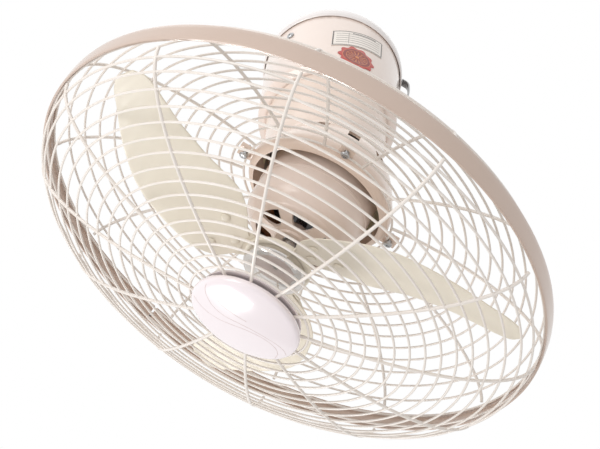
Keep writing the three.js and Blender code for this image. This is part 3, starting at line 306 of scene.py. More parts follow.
def feed(tree, socket, value):
    """Gives a socket a constant or joins it to another node's output."""
    if isinstance(value, (int, float, tuple)):
        socket.default_value = value
    elif value is not None:
        tree.links.new(value, socket)


def math_node(tree, operation, *values):
    made = tree.nodes.new("ShaderNodeMath")
    made.operation = operation
    for socket, value in zip(made.inputs, values):
        feed(tree, socket, value)
    return made.outputs[0]


def limited(tree, value):
    return math_node(tree, "MINIMUM", math_node(tree, "MAXIMUM", value, 0.0), 1.0)


def noise(tree, coordinate, scale, detail=3.0, roughness=0.5):
    made = tree.nodes.new("ShaderNodeTexNoise")
    tree.links.new(coordinate, made.inputs["Vector"])
    for label, value in (("Scale", scale), ("Detail", detail), ("Roughness", roughness)):
        feed(tree, made.inputs[label], value)
    return made.outputs["Fac"]


def blend_colour(tree, factor, first, second):
    made = tree.nodes.new("ShaderNodeMix")
    made.data_type = "RGBA"
    for socket, value in ((made.inputs[0], factor), (made.inputs[6], first), (made.inputs[7], second)):
        feed(tree, socket, value)
    return made.outputs[2]


def object_place(tree):
    return tree.nodes.new("ShaderNodeTexCoord").outputs["Object"]


def enamel_effect():
    """Sprayed paint: slow tone drift, fine orange peel and specks of dust under the gloss."""
    group, given, results = effect("sprayed enamel", {
        "Colour": (0.9, 0.85, 0.8, 1), "Deep Colour": (0.8, 0.75, 0.7, 1), "Drift Scale": 12.0,
        "Peel Scale": 420.0, "Roughness": 0.3, "Roughness Spread": 0.08,
    })
    calc = partial(math_node, group)
    where = object_place(group)
    drift = noise(group, where, given["Drift Scale"], 4.0, 0.55)
    peel = noise(group, where, given["Peel Scale"], 2.0, 0.4)
    dust = noise(group, where, 2600.0, 1.0, 0.5)
    specks = calc("MULTIPLY", calc("GREATER_THAN", dust, 0.74), 0.25)
    drifted = limited(group, calc("MULTIPLY_ADD", drift, 1.6, -0.45))
    spotted = limited(group, calc("ADD", drifted, specks))
    spread = calc("MULTIPLY", calc("SUBTRACT", drift, 0.5), given["Roughness Spread"])
    return joined(
        group, results,
        blend_colour(group, spotted, given["Colour"], given["Deep Colour"]),
        calc("ADD", given["Roughness"], spread),
        calc("MULTIPLY_ADD", peel, 0.8, specks),
    )


def metal_effect():
    """Worked metal: streaks along one way, faint stains and fine scratches."""
    group, given, results = effect("worked metal", {
        "Colour": (0.6, 0.6, 0.6, 1), "Stain Colour": (0.45, 0.44, 0.42, 1),
        "Streaks": (60.0, 60.0, 900.0), "Roughness": 0.3, "Roughness Spread": 0.2,
    })
    calc = partial(math_node, group)
    where = object_place(group)
    stretch = group.nodes.new("ShaderNodeVectorMath")
    stretch.operation = "MULTIPLY"
    group.links.new(where, stretch.inputs[0])
    group.links.new(given["Streaks"], stretch.inputs[1])
    streak = noise(group, stretch.outputs[0], 1.0, 5.0, 0.65)
    stain = noise(group, where, 55.0, 4.0, 0.6)
    amount = limited(group, calc("MULTIPLY_ADD", stain, 2.2, -0.8))
    spread = calc("MULTIPLY", calc("SUBTRACT", streak, 0.5), given["Roughness Spread"])
    return joined(
        group, results,
        blend_colour(group, amount, given["Colour"], given["Stain Colour"]),
        calc("ADD", given["Roughness"], spread),
        streak,
    )


# The rating plate and the seal lie on the canopy: angles round Z, and heights in millimetres.
PLATE_FROM = math.radians(37.5)
PLATE_SPAN = math.radians(45.5)
PLATE_TOP = -52.5
PLATE_RISE = 18.5
PLATE_HEIGHT = 33
SEAL_ANGLE = math.radians(59.5)
SEAL_HEIGHT = -100
PRINT_RADIUS = 75.3


def canopy_place(tree):
    """Angle round Z in radians and height in millimetres of the shaded point."""
    split = tree.nodes.new("ShaderNodeSeparateXYZ")
    tree.links.new(object_place(tree), split.inputs[0])
    angle = math_node(tree, "ARCTAN2", split.outputs[1], split.outputs[0])
    return angle, math_node(tree, "MULTIPLY", split.outputs[2], 1 / MM)


def within(tree, value, low, high):
    above_low = math_node(tree, "GREATER_THAN", value, low)
    return math_node(tree, "MULTIPLY", above_low, math_node(tree, "LESS_THAN", value, high))


def ruled_label_effect():
    """A printed plate: a dark frame, a heading bar, a column line and rows of thin rules."""
    group, given, results = effect("ruled label", {
        "Paper": (0.93, 0.86, 0.79, 1), "Ink": (0.05, 0.03, 0.03, 1), "Roughness": 0.36,
    })
    calc = partial(math_node, group)
    angle, height = canopy_place(group)
    wide = PLATE_SPAN * PRINT_RADIUS
    share = calc("DIVIDE", calc("SUBTRACT", angle, PLATE_FROM), PLATE_SPAN)
    along = calc("MULTIPLY", share, wide)
    down = calc("SUBTRACT", calc("MULTIPLY_ADD", share, PLATE_RISE, PLATE_TOP), height)

    def box(left, right, top, bottom):
        return calc("MULTIPLY", within(group, along, left, right), within(group, down, top, bottom))

    inside = box(1.9, wide - 1.9, 1.9, PLATE_HEIGHT - 1.9)
    border = calc("SUBTRACT", box(0.4, wide - 0.4, 0.4, PLATE_HEIGHT - 0.4), inside)
    step = calc("PINGPONG", calc("SUBTRACT", down, 6.5), 2.4)
    rules = calc("MULTIPLY", calc("LESS_THAN", step, 0.5), box(4.5, wide - 4.5, 6.0, 29.5))
    column_line = box(17.6, 18.2, 4.0, 29.0)
    heading = box(22.0, 50.0, 3.6, 5.4)
    softer = calc("MULTIPLY", calc("MAXIMUM", rules, column_line), 0.72)
    ink = calc("MAXIMUM", calc("MAXIMUM", border, heading), softer)
    grain = noise(group, object_place(group), 900.0, 3.0, 0.6)
    worn = calc("MULTIPLY", ink, calc("MULTIPLY_ADD", grain, 0.5, 0.62))
    return joined(
        group, results,
        blend_colour(group, limited(group, worn), given["Paper"], given["Ink"]),
        calc("MULTIPLY_ADD", grain, 0.12, given["Roughness"]),
        calc("ADD", grain, worn),
    )


def rosette_effect():
    """A round seal: a red rim, a darker middle, and rays and rings of orange foil."""
    group, given, results = effect("rosette", {
        "Red": (0.52, 0.045, 0.03, 1), "Dark Red": (0.2, 0.012, 0.008, 1),
        "Foil": (0.72, 0.24, 0.05, 1), "Roughness": 0.3,
    })
    calc = partial(math_node, group)
    angle, height = canopy_place(group)
    across = calc("MULTIPLY", calc("SUBTRACT", angle, SEAL_ANGLE), PRINT_RADIUS)
    up = calc("SUBTRACT", height, SEAL_HEIGHT)
    away = calc("SQRT", calc("ADD", calc("MULTIPLY", across, across), calc("MULTIPLY", up, up)))
    waves = calc("SINE", calc("MULTIPLY", calc("ARCTAN2", up, across), 14.0))
    rays = calc("MULTIPLY", calc("GREATER_THAN", waves, 0.5), within(group, away, 3.4, 10.6))
    middle = calc("LESS_THAN", away, 2.4)
    rings = calc("MAXIMUM", within(group, away, 11.6, 12.3), within(group, away, 15.6, 16.1))
    foil = limited(group, calc("ADD", rays, calc("ADD", middle, rings)))
    dark = calc("MULTIPLY", within(group, away, 0.0, 15.6), 0.85)
    grain = noise(group, object_place(group), 600.0, 3.0, 0.6)
    red = blend_colour(group, dark, given["Red"], given["Dark Red"])
    worn = calc("MULTIPLY", foil, calc("MULTIPLY_ADD", grain, 0.6, 0.45))
    return joined(
        group, results,
        blend_colour(group, limited(group, worn), red, given["Foil"]),
        calc("MULTIPLY_ADD", grain, 0.15, given["Roughness"]),
        calc("ADD", calc("MULTIPLY", grain, 0.4), foil),
    )


ENAMEL = enamel_effect()
METAL = metal_effect()


def finish_with(name, group, values, bump, metallic=0.0, **surface):
    """A material whose colour, roughness and relief come from one effect."""
    material = bpy.data.materials.new(name)
    material.use_nodes = True
    tree = material.node_tree
    shader = tree.nodes["Principled BSDF"]
    skin = tree.nodes.new("ShaderNodeGroup")
    skin.node_tree = group
    for label, value in values.items():
        skin.inputs[label].default_value = value
    relief = tree.nodes.new("ShaderNodeBump")
    relief.inputs["Strength"].default_value = bump[0]
    relief.inputs["Distance"].default_value = bump[1] * MM
    tree.links.new(skin.outputs["Height"], relief.inputs["Height"])
    tree.links.new(skin.outputs["Colour"], shader.inputs["Base Color"])
    tree.links.new(skin.outputs["Roughness"], shader.inputs["Roughness"])
    tree.links.new(relief.outputs["Normal"], shader.inputs["Normal"])
    shader.inputs["Metallic"].default_value = metallic
    for label, value in surface.items():
        shader.inputs[label.replace("_", " ")].default_value = value
    return material


def paint(name, colour, deep, roughness, peel=(0.25, 0.05), drift=12.0, coat=0.0, spread=0.08):
    values = {
        "Colour": (*colour, 1), "Deep Colour": (*deep, 1), "Drift Scale": drift,
        "Roughness": roughness, "Roughness Spread": spread,
    }
    return finish_with(name, ENAMEL, values, peel, Coat_Weight=coat, Coat_Roughness=0.08)


def bare(name, colour, stain, roughness, streaks=(60, 60, 900), relief=(0.3, 0.03), spread=0.2):
    values = {
        "Colour": (*colour, 1), "Stain Colour": (*stain, 1), "Streaks": streaks,
        "Roughness": roughness, "Roughness Spread": spread,
    }
    return finish_with(name, METAL, values, relief, metallic=1.0)


housing_enamel = paint("housing enamel", (0.85, 0.69, 0.585), (0.82, 0.65, 0.54), 0.26, coat=0.35)
# the bell's inside: a brighter, yellower copy of the housing enamel, painted warm reflected light
bell_painted_warm_light = paint("bell painted warm light", (0.93, 0.85, 0.62), (0.88, 0.79, 0.55), 0.42, (0.35, 0.06))
canopy_enamel = paint("canopy enamel", (0.89, 0.755, 0.68), (0.86, 0.71, 0.62), 0.22, coat=0.45)
plate_enamel = paint("plate enamel", (0.88, 0.83, 0.81), (0.86, 0.79, 0.76), 0.24, coat=0.4)
motor_enamel = paint("motor enamel", (0.84, 0.7, 0.62), (0.8, 0.65, 0.56), 0.26, (0.4, 0.08), 18, 0.35)
wire_coating = paint("wire coating", (0.85, 0.79, 0.735), (0.8, 0.725, 0.66), 0.3, (0.35, 0.06), 30)
band_enamel = paint("band enamel", (0.61, 0.475, 0.4), (0.565, 0.43, 0.35), 0.3, (0.3, 0.05), 9, 0.5)
blade_enamel = paint("blade enamel", (0.83, 0.765, 0.645), (0.79, 0.715, 0.585), 0.36, (0.3, 0.05), 14)
zinc_steel = bare("zinc plated steel", (0.55, 0.56, 0.57), (0.42, 0.42, 0.41), 0.34)
clip_steel = bare("spring steel", (0.4, 0.4, 0.4), (0.3, 0.3, 0.29), 0.36, (80, 80, 700))
turned_steel = bare("turned steel", (0.6, 0.61, 0.62), (0.5, 0.5, 0.5), 0.28, (700, 700, 700))
brass_metal = bare("turned brass", (0.62, 0.42, 0.16), (0.45, 0.29, 0.11), 0.3, (500, 500, 900))
copper_wire = paint("lacquered copper wire", (0.56, 0.27, 0.13), (0.42, 0.17, 0.07), 0.3,
                    (0.3, 0.04), 90, 0.4)
core_stack = bare("stacked core sheet", (0.16, 0.165, 0.17), (0.11, 0.1, 0.1), 0.5, (20, 20, 2400))
polished_chrome = bare("polished chrome", (0.72, 0.7, 0.68), (0.64, 0.61, 0.58), 0.1,
                       (300, 300, 300), (0.08, 0.02), 0.05)
nylon = paint("natural nylon", (0.8, 0.78, 0.7), (0.74, 0.71, 0.62), 0.5, (0.3, 0.06), 40)
dark_case = paint("dark plastic case", (0.05, 0.05, 0.055), (0.04, 0.04, 0.042), 0.45, (0.4, 0.05), 60)
badge_gloss = paint("badge gloss", (0.9, 0.82, 0.84), (0.88, 0.79, 0.81), 0.14, (0.08, 0.03), 10, 0.5)
# a darker copy of the badge paint for the raised ridges: painted shade along the relief
badge_ridge_painted_shade = paint("badge ridge painted shade", (0.62, 0.5, 0.47), (0.58, 0.46, 0.43), 0.4, (0.1, 0.03), 10)
label_film = finish_with("label film", ruled_label_effect(), {}, (0.3, 0.04))
seal_film = finish_with("red seal film", rosette_effect(), {}, (0.4, 0.08), Coat_Weight=0.12)

# ------------------------------------------------------------------ ceiling plate and canopy
dish = turned([
    (0, 0), (75, 0), (76.6, -0.7), (77.9, -2.3), (78.7, -4.6), (79, -7.5), (79, -12.6), (78.7, -15),
    (78.3, -16.4), (77.6, -17), (76.9, -16.6), (76.9, -3), (0, -3),
], 160, closed=False)
drills = [rod(2.8, -6, 3, place=about("Z", 45 + 90 * i) @ at(62, 0, 0)) for i in range(4)]
dish = combined(dish, merged(*drills, rod(9, -6, 3, 64, at(0, 30, 0))))
piece("ceiling_dish", soften(dish, 0.35, 2, 40), "ceiling_mount", plate_enamel,
      "ceiling_plate")

CANOPY_RADIUS = 76.2
CANOPY_TOP = -3.3
CANOPY_DRAFT = 1.9
CANOPY_WALL = 118.7
CANOPY_SCREWS = -38
shell = [(CANOPY_RADIUS, CANOPY_TOP), (75.85, -25), (75.3, -60), (74.75, -95), (74.4, -113), (74.2, -118),
         (73.9, -120.2), (73.2, -122), (72, -123.5), (70.2, -125.3), (68.6, -127), (67.4, -128.2),
         (66.4, -128.9), (65.4, -129), (63.3, -129), (63.1, -128.6), (63.1, -127), (71.6, -118),
         (73.7, CANOPY_TOP)]
drill = rod(SCREW_HOLE, -84, 84, place=at(0, 0, CANOPY_SCREWS) @ about("Y", 90))
canopy = combined(turned(shell, 192), drill)
piece("canopy_shell", soften(canopy, 0.3, 2, 50), "ceiling_mount", canopy_enamel,
      "canopy")

clip_line = flowing([(79.8, -5.6), (82.4, -8.2), (85.2, -11.4), (86.9, -16.5), (87.3, -25), (87.1, -34),
                     (85.3, -42.5), (81.4, -51.5), (77.6, -60)], 3)
clip = soften(strip(clip_line, 9, 1.6), 0.45, 3, 50)
piece("clip_strip", clip, "ceiling_mount", clip_steel, "safety_clip", about("Z", 132))


def canopy_radius(height):
    return CANOPY_RADIUS - CANOPY_DRAFT * (CANOPY_TOP - height) / CANOPY_WALL


def on_canopy(angle, height, lift):
    radius = canopy_radius(height) + lift
    return Vector((*polar(radius, angle), height))


def rating_place(u, v):
    return on_canopy(PLATE_FROM + PLATE_SPAN * u, PLATE_TOP + PLATE_RISE * u - PLATE_HEIGHT * v, 0.55)


piece("rating_film", sheet_of(60, 24, rating_place, 0.4), "ceiling_mount", label_film,
      "rating_plate")


def seal_place(u, v):
    """A round film with ten soft scallops, embossed in rings."""
    turn = TURN * u
    radius = v * (19.6 + 1.5 * math.cos(10 * turn))
    lift = 0.55 + 0.12 * math.cos(min(v, 1) * 9)
    across = radius * math.cos(turn) / 74.65
    return on_canopy(SEAL_ANGLE + across, SEAL_HEIGHT + radius * math.sin(turn), lift)


rosette = cleaned(laid_grid(160, 12, seal_place), 0.002)
rosette = shaped(rosette, [("SOLIDIFY", {"thickness": 0.3, "offset": 0})])
piece("seal_film", rosette, "ceiling_mount", seal_film, "seal_sticker")


def pan_screw(length):
    """A pan-head screw along Z with a cross recess and a turned thread."""
    thread = []
    step = 0.8
    count = int((length - 1.2) / step)
    for i in range(count):
        low = -length + 1.0 + i * step
        thread += [(1.6, low), (1.88, low + step / 2)]
    head = [(0, -length), (1.1, -length), *thread, (1.88, -0.2), (1.88, 0), (4.1, 0), (4.4, 0.3),
            (4.32, 1.0), (3.9, 1.7), (3.1, 2.15), (1.6, 2.38), (0, 2.4)]
    body = turned(head, 48, closed=False)
    cross = combined(slab((4.6, 0.9, 3), at(0, 0, 2.5)), slab((0.9, 4.6, 3), at(0, 0, 2.5)), "UNION")
    return combined(body, cross)


def placed_screw(name, node_name, length, body, place):
    piece(name, soften(pan_screw(length), 0.12, 1, 50), body, zinc_steel, node_name, place)


for label, side in (("right", 1), ("left", -1)):
    place = at(side * (canopy_radius(CANOPY_SCREWS) + 0.3), 0, CANOPY_SCREWS) @ about("Y", side * 90)
    placed_screw(f"canopy_fastener_{label}", f"canopy_screw_{label}", 8, "ceiling_mount", place)

# hanger bracket, spindle and the pieces fixed to it
tab = CANOPY_RADIUS - CANOPY_DRAFT - 2.5 - 1
strap_half = [(tab, -3.6), (tab, -45), (tab - 2.5, -45), (tab - 2.5, -6.1), (22.5, -6.1), (22.5, -34.5)]
strap_line = strap_half + [(-x, z) for x, z in strap_half[::-1]]
strap_line += [(-20, -3.6), (-20, -32), (20, -32), (20, -3.6)]
strap = moved(raised(strap_line, -12, 12), about("X", 90))
tapped = rod(SCREW_HOLE, -79, 79, place=at(0, 0, CANOPY_SCREWS) @ about("Y", 90))
strap = combined(strap, merged(rod(SPINDLE_HOLE, -37, -29), tapped))
piece("hanger_strap", soften(strap, 0.6, 3, 40), "ceiling_mount", zinc_steel, "hanger_bracket")

tube = [(4.5, -28), (4.5, -199.2), (5, -199.9), (7.4, -199.9), (8, -199.2), (8, -31.7), (12.5, -31.7),
        (13, -31.2), (13, -28.5), (12.5, -28)]
piece("spindle_tube", turned(tube, 96), "ceiling_mount", turned_steel, "spindle")


def nut(bore, radius, high, height):
    """A hexagon nut with chamfered corners."""
    low = high - height
    body = raised([polar(radius, math.radians(60 * i)) for i in range(6)], low, high)
    trim = turned([(0, low), (radius * 0.9, low), (radius, low + height * 0.16),
                   (radius, high - height * 0.16), (radius * 0.9, high), (0, high)], 96, closed=False)
    body = combined(body, trim, "INTERSECT")
    return soften(combined(body, rod(bore, low - 1, high + 1, 64)), 0.2, 2, 30)


for label, node, high in (("top", "spindle_locknut", -34.8), ("bottom", "retaining_nut", -189.9)):
    piece(f"spindle_{label}_nut", nut(SPINDLE_HOLE, 13, high, 8), "ceiling_mount", zinc_steel,
          node)
washer = turned([(SPINDLE_HOLE, -189.6), (18, -189.6), (18, -187.6), (SPINDLE_HOLE, -187.6)], 96)
piece("bearing_washer", soften(washer, 0.3), "ceiling_mount", brass_metal, "thrust_washer")

# seven bands of the contact drum, wide and narrow in turn; the brushes stand by the narrow ones
RING_TOP = -136
RING_STEP = 20 / 7
drum_line = [(SPINDLE_HOLE, RING_TOP), (SPINDLE_HOLE, -156)]
for i in range(7, 0, -1):
    radius = 15 if i % 2 else 13.4
    drum_line += [(radius, RING_TOP - RING_STEP * i), (radius, RING_TOP - RING_STEP * (i - 1))]
piece("contact_drum", soften(turned(drum_line, 96), 0.2, 2), "ceiling_mount", brass_metal,
      "slip_ring_drum")


def gear(teeth, bore, phase, low=-166, high=-160):
    """A spur gear of module 1.2 with its pitch circle at a radius of 0.6 for each tooth."""
    pitch = teeth * 0.6
    step = TURN / teeth
    outline = []
    for i in range(teeth):
        for radius, share in ((pitch - 1.5, -0.3), (pitch - 0.1, -0.235), (pitch + 1.08, -0.11),
                              (pitch + 1.08, 0.11), (pitch - 0.1, 0.235), (pitch - 1.5, 0.3)):
            outline.append(polar(radius, (i + phase + share) * step))
    return soften(combined(raised(outline, low, high), rod(bore, low - 1, high + 1, 64)), 0.12, 1, 50)


piece("fixed_gear", gear(30, SPINDLE_HOLE, 0), "ceiling_mount", brass_metal, "orbit_gear")
piece("rolling_pinion", gear(10, 2.3, 0.5), "pinion", nylon, "orbit_pinion",
      at(GEAR_SPAN, 0, 0))

TERMINAL_Y = -41.9
TERMINAL_X = [-10.5, 0, 10.5]
block = slab((34, 14, 13), at(0, TERMINAL_Y, -9.8))
block = combined(block, merged(*[rod(3.2, -17, -9.3, 40, at(x, TERMINAL_Y, 0)) for x in TERMINAL_X]))
block = combined(block, merged(*[
    slab((6.4, 3.4, 3.2), at(x, TERMINAL_Y + 6.4 * side, -12)) for x in TERMINAL_X for side in (-1, 1)]))
screws = [combined(rod(2.9, -13, -9.5, 32, at(x, TERMINAL_Y, 0)),
                   slab((5, 0.8, 1.6), at(x, TERMINAL_Y, -13))) for x in TERMINAL_X]
connectors = merged(soften(block, 0.5, 2, 40), *[soften(screw, 0.15, 1, 50) for screw in screws])
piece("supply_terminals", connectors, "ceiling_mount", nylon, "terminal_block")

case = slab((38, 18, 28), at(0, 54, -17.3))
upright_edges = [edge for edge in case.edges if abs((edge.verts[0].co - edge.verts[1].co).z) > 20]
bmesh.ops.bevel(case, geom=upright_edges, offset=4, affect="EDGES", segments=6, profile=0.5, material=-1)
piece("capacitor_case", soften(case, 0.8, 3, 50), "ceiling_mount", dark_case,
      "run_capacitor")

# ------------------------------------------------------------------ orbit drive on the swivel plate
disc = combined(rod(57.4, -184, -181, 128), rod(11.6, -186, -179, 64))
piece("carrier_plate", soften(disc, 0.4, 2, 50), "orbit_head", zinc_steel, "swivel_plate")
bush = turned([(SPINDLE_HOLE, -187.3), (15, -187.3), (15, -184.3), (11.3, -184.3), (11.3, -181),
               (SPINDLE_HOLE, -181)], 96)
piece("flanged_bush", soften(bush, 0.3, 2), "orbit_head", brass_metal, "swivel_bush")

can = turned([(0, -180.7), (14, -180.7), (14, -178.9), (13.6, -178.6), (13.6, -171), (14, -170.7),
              (14, -168.3), (5, -168.3), (5, -167.3), (2, -167.3), (2, -159.4), (1.6, -159), (0, -159)],
             96, closed=False)
piece("gear_motor_can", soften(can, 0.35, 2), "orbit_head", zinc_steel, "orbit_motor",
      at(GEAR_SPAN, 0, 0))

post = slab((9, 14, 44.7), at(-31, 0, -158.35))
post = soften(combined(post, slab((3, 15, 3), at(-35.5, 0, -170))), 0.7, 3, 40)
fingers = []
for i in range(3):
    level = RING_TOP - RING_STEP * (1.5 + 2 * i)
    path = [(-27.5, level), (-22, level + 0.15), (-18, level), (-15.6, level - 0.1)]
    fingers.append(soften(strip(flowing(path, 3), 4, 0.9), 0.2, 2, 50))
piece("brush_post", merged(post, *fingers), "orbit_head", nylon, "brush_block")

# ------------------------------------------------------------------ swivel housing
BELL = [(0, -70), (30, -65.1), (51, -49), (64, -31), (72, -13), (76, -3.5)]


def bell_solid(wall, rim):
    crown = flowing([(r - wall if i else 0, h + wall * 0.7) for i, (r, h) in enumerate(BELL)], 4)
    return moved(turned(crown + rim + [(0, rim[-1][1])], 160, closed=False), HEAD)


def neck_solid(wall, top):
    line = flowing([(58.6 - wall, -248 + wall), (60.6 - wall, -215), (60.6 - wall, -188),
                    (62.2 - wall, -160), (64.6 - wall, -130)], 5)
    return turned([(0, -248 + wall)] + line + [(64.6 - wall, top), (0, top)], 160, closed=False)


outer_lip = flowing([(76, -3.5), (76, 1.5), (74.6, 5), (71.6, 8.6), (69.4, 9.9)], 3)[1:]
outer = combined(bell_solid(0, outer_lip + [(68.4, 10)]), neck_solid(0, -124), "UNION")
outer = shaped(outer, [
    ("REMESH", {"mode": "VOXEL", "voxel_size": 1.5}),
    ("SMOOTH", {"factor": 0.5, "iterations": 14}),
])
throat = flowing([(73.4, -1.7), (73.2, 2), (71.2, 5.4), (68.4, 7.6), (67.5, 8.6)], 3)[1:]
hollow = combined(bell_solid(2.6, throat + [(67.5, 20)]), neck_solid(2.6, -110), "UNION")
openings = [slab((16, 12.6, 12), about("Z", -27.5 - 32.5 * i) @ at(61, 0, -36)) for i in range(4)]
openings = moved(merged(*[soften(slot, 1.2, 3, 40) for slot in openings]), HEAD)
for tool in (hollow, openings, slab((200, 200, 20), at(0, 0, -120))):
    outer = combined(outer, tool)

# four lugs on the bell's rim, where the cage is screwed on
LUG_RADIUS = 82.7
LUG_TURNS = [about("Z", 29 + 90 * i) for i in range(4)]
lugs = []
for turn in LUG_TURNS:
    lug = combined(slab((19, 15, 5), turn @ at(80.5, 0, 2)), slab((3.6, 6, 9), turn @ at(78.3, 0, 2)))
    lug = combined(lug, rod(SCREW_HOLE, -20, 20, 32, turn @ at(LUG_RADIUS, 0, 0)))
    lugs.append(soften(lug, 0.6, 3, 40))
ledge = turned([(54.9, -187.3), (59.6, -187.3), (59.6, -184.3), (54.9, -184.3)], 128)
cast = merged(outer, moved(merged(*lugs), HEAD), soften(ledge, 0.4, 2))

# faces that look inwards below the bell's crown get a brighter, yellower copy of the housing enamel:
# painted warm light reflected inside the bell
for face in cast.faces:
    middle = HEAD.inverted() @ face.calc_center_median()
    spread = math.hypot(middle.x, middle.y)
    inside_bell = -66 < middle.z < 8.4 and spread < 67.4 + max(0, 6 - abs(middle.z)) * 0.9
    inward = face.normal.dot((HEAD.to_3x3() @ Vector((middle.x, middle.y, 0))).normalized()) < -0.2
    if inside_bell and inward:
        face.material_index = 1
piece("cast_housing", cast, "orbit_head", [housing_enamel, bell_painted_warm_light],
      "swivel_housing")

for i, turn in enumerate(LUG_TURNS):
    placed_screw(f"cage_fastener_{i + 1}", f"guard_screw_{i + 1}", 14, "orbit_head",
                 HEAD @ turn @ at(LUG_RADIUS, 0, 7.95))

# motor bracket: two legs under the swivel plate and a foot plate behind the motor
legs = []
for side in (-1, 1):
    legs += [slab((2.5, 28, 75.7), at(side * 36.75, 2, -184.3 - 37.85)),
             slab((18, 28, 2.5), at(side * 29, 2, -185.55))]
foot = moved(slab((78, 56, 2.5), at(0, -4, -22.05)), HEAD)
bracket = combined(merged(legs[0], legs[2]), merged(legs[1], legs[3]), "UNION")
bracket = combined(bracket, foot, "UNION")
bracket = combined(bracket, moved(slab((300, 300, 150), at(0, 0, 75 - 20.8)), HEAD))
piece("leg_bracket", soften(bracket, 0.5, 2, 40), "orbit_head", zinc_steel, "motor_bracket")

# ------------------------------------------------------------------ fan motor
rear_cover = turned([
    (0, -20.5), (52, -20.5), (54.6, -19.8), (56.4, -18), (57, -15.5), (57, 16.4), (57.4, 16.9),
    (57.4, 17.85), (54.5, 17.85), (54.5, -15), (53.8, -16.8), (52, -18), (16.8, -18), (16.8, -9.3),
    (14.3, -9.3), (14.3, -18), (0, -18),
], 160, closed=False)
piece("motor_shell_rear", soften(rear_cover, 0.3, 2, 40), "orbit_head", motor_enamel,
      "motor_rear_cover", HEAD)

front_line = [(57.4, 18.15), (57.4, 19.1), (57, 19.6)]
front_line += flowing([(57, 40), (56.3, 44.2), (54.6, 48.4), (51.2, 53.2), (47.4, 57.2), (45.8, 58.8)], 3)
front_line += [(45.4, 59.6), (44.9, 60.3), (44, 60.8), (42.6, 61.3), (36, 63), (28, 64.6), (20, 65.7),
               (17.2, 66.4), (16.6, 67.6), (15.8, 68.5), (8.6, 68.5), (8, 67.9), (8, 66), (14.3, 66),
               (14.3, 55.3), (16.8, 55.3), (16.8, 62.6), (30, 61.6), (41.4, 58.4), (52, 47),
               (54.5, 40.5), (54.5, 18.15)]
front_cover = turned(front_line, 192)


def crescent(inner, outer, half):
    """A window between two arcs whose ends come to rounded points."""
    shares = [2 * i / 24 - 1 for i in range(25)]
    line = [(outer, half * share) for share in shares]
    line += [(inner + (outer - inner) * 0.5 * share**4, half * 0.97 * share) for share in shares[::-1]]
    return raised([polar(radius, math.radians(angle)) for radius, angle in line], 52, 76)


vents = [moved(crescent(21, 39, 19), about("Z", 60 * i)) for i in range(6)]
windows = [slab((12, 11, 9), about("Z", 29 + 180 * i) @ at(57, 0, 28)) for i in range(2)]
for cuts in (vents, [soften(window, 1.5, 3) for window in windows]):
    front_cover = combined(front_cover, merged(*cuts))
piece("motor_shell_front", soften(front_cover, 0.35, 2, 42), "orbit_head", motor_enamel,
      "motor_front_cover", HEAD)


def bearing(low, high):
    middle = (low + high) / 2
    inner = turned([(6.3, low), (8.6, low), (8.6, middle - 1.6), (8.1, middle), (8.6, middle + 1.6),
                    (8.6, high), (6.3, high)], 72)
    outer_race = turned([(11.6, low), (14, low), (14, high), (11.6, high), (11.6, middle + 1.6),
                         (12.1, middle), (11.6, middle - 1.6)], 72)
    ball = bmesh.new()
    bmesh.ops.create_uvsphere(ball, u_segments=16, v_segments=10, radius=1.75, matrix=at(10.1, 0, middle))
    return merged(inner, outer_race, repeated(ball, 8))


for label, low, high in (("rear", -17.7, -9.3), ("front", 56.8, 65.7)):
    piece(f"ball_bearing_{label}", bearing(low, high), "orbit_head", turned_steel,
          f"{label}_bearing", HEAD)


def core(inner, outer, slots, slot_radius, width):
    body = turned([(inner, 0), (outer, 0), (outer, 34), (inner, 34)], 144)
    cuts = merged(*[slab((7, width, 40), about("Z", 360 * i / slots) @ at(slot_radius, 0, 17))
                    for i in range(slots)])
    return soften(combined(body, cuts), 0.25, 1, 50)


piece("stator_stack", core(30.4, 54.2, 24, 31.5, 3.2), "orbit_head", core_stack,
      "stator_core", HEAD)
piece("rotor_stack", core(6.3, 29.6, 28, 31.9, 1.2), "rotor", core_stack,
      "rotor_core", HEAD)


def winding(low, high):
    """End turns: a bundle with wires laid over it side by side."""
    ends = [(33.4, low), (48.7, low), (48.7, high - 4), (46.5, high - 1), (43, high - 0.5),
            (38, high - 0.5), (35, high - 1.4), (33.4, high - 4)]
    bundle = turned(ends, 96)
    arch = [(33.2, 0, low + 1), (33.2, 0, high - 4.2), (34.8, 0, high - 1.2), (38, 0, high - 0.5),
            (43.5, 0, high - 0.5), (47, 0, high - 1.3), (48.8, 0, high - 4.4), (48.8, 0, low + 1)]
    wires = repeated(drawn(flowing(arch, 3), 0.9, 6, Vector((0, 1, 0))), 132)
    return merged(bundle, wires)


piece("front_end_turns", winding(34.3, 49), "orbit_head", copper_wire,
      "stator_winding_front", HEAD)
piece("rear_end_turns", winding(0.3, 13.5), "orbit_head", copper_wire,
      "stator_winding_rear", HEAD @ about("X", 180))

shaft = turned([(0, -17.7), (5.5, -17.7), (6, -17.2), (6, 78.3), (5, 78.3), (5, 90)] + [
    point for i in range(17) for point in ((5, 90 + 0.8 * i), (4.7, 90.4 + 0.8 * i))
] + [(4.4, 104), (0, 104)], 64, closed=False)
piece("turned_shaft", shaft, "rotor", turned_steel, "rotor_shaft", HEAD)

# ------------------------------------------------------------------ blades and hub
SWEEP = 237.5
BLADE_TURNS = [about("Z", 2.7 - 120 * i) for i in range(3)]

# rows across a blade: share of the sweep, and the angles of the leading and the trailing edge
BLADE = [(0.158, 10, 43), (0.24, -7, 52), (0.345, -13, 48), (0.446, -11, 38.5), (0.542, -9, 31),
         (0.636, -8.7, 23.5), (0.724, -8.9, 15.5), (0.81, -9.8, 8.5), (0.893, -10.6, 2.6),
         (0.958, -10.6, -0.9), (1, -8.6, -4)]
BLADE = [(SWEEP * share, lead, trail) for share, lead, trail in BLADE]
ARM = [(30, 6, 48), (45.8, 5, 49), (61.6, 2, 46), (74.3, 3, 42), (79, 9, 35)]
RIVETS = [(66.36, 11), (66.36, 40), (45.82, 27)]


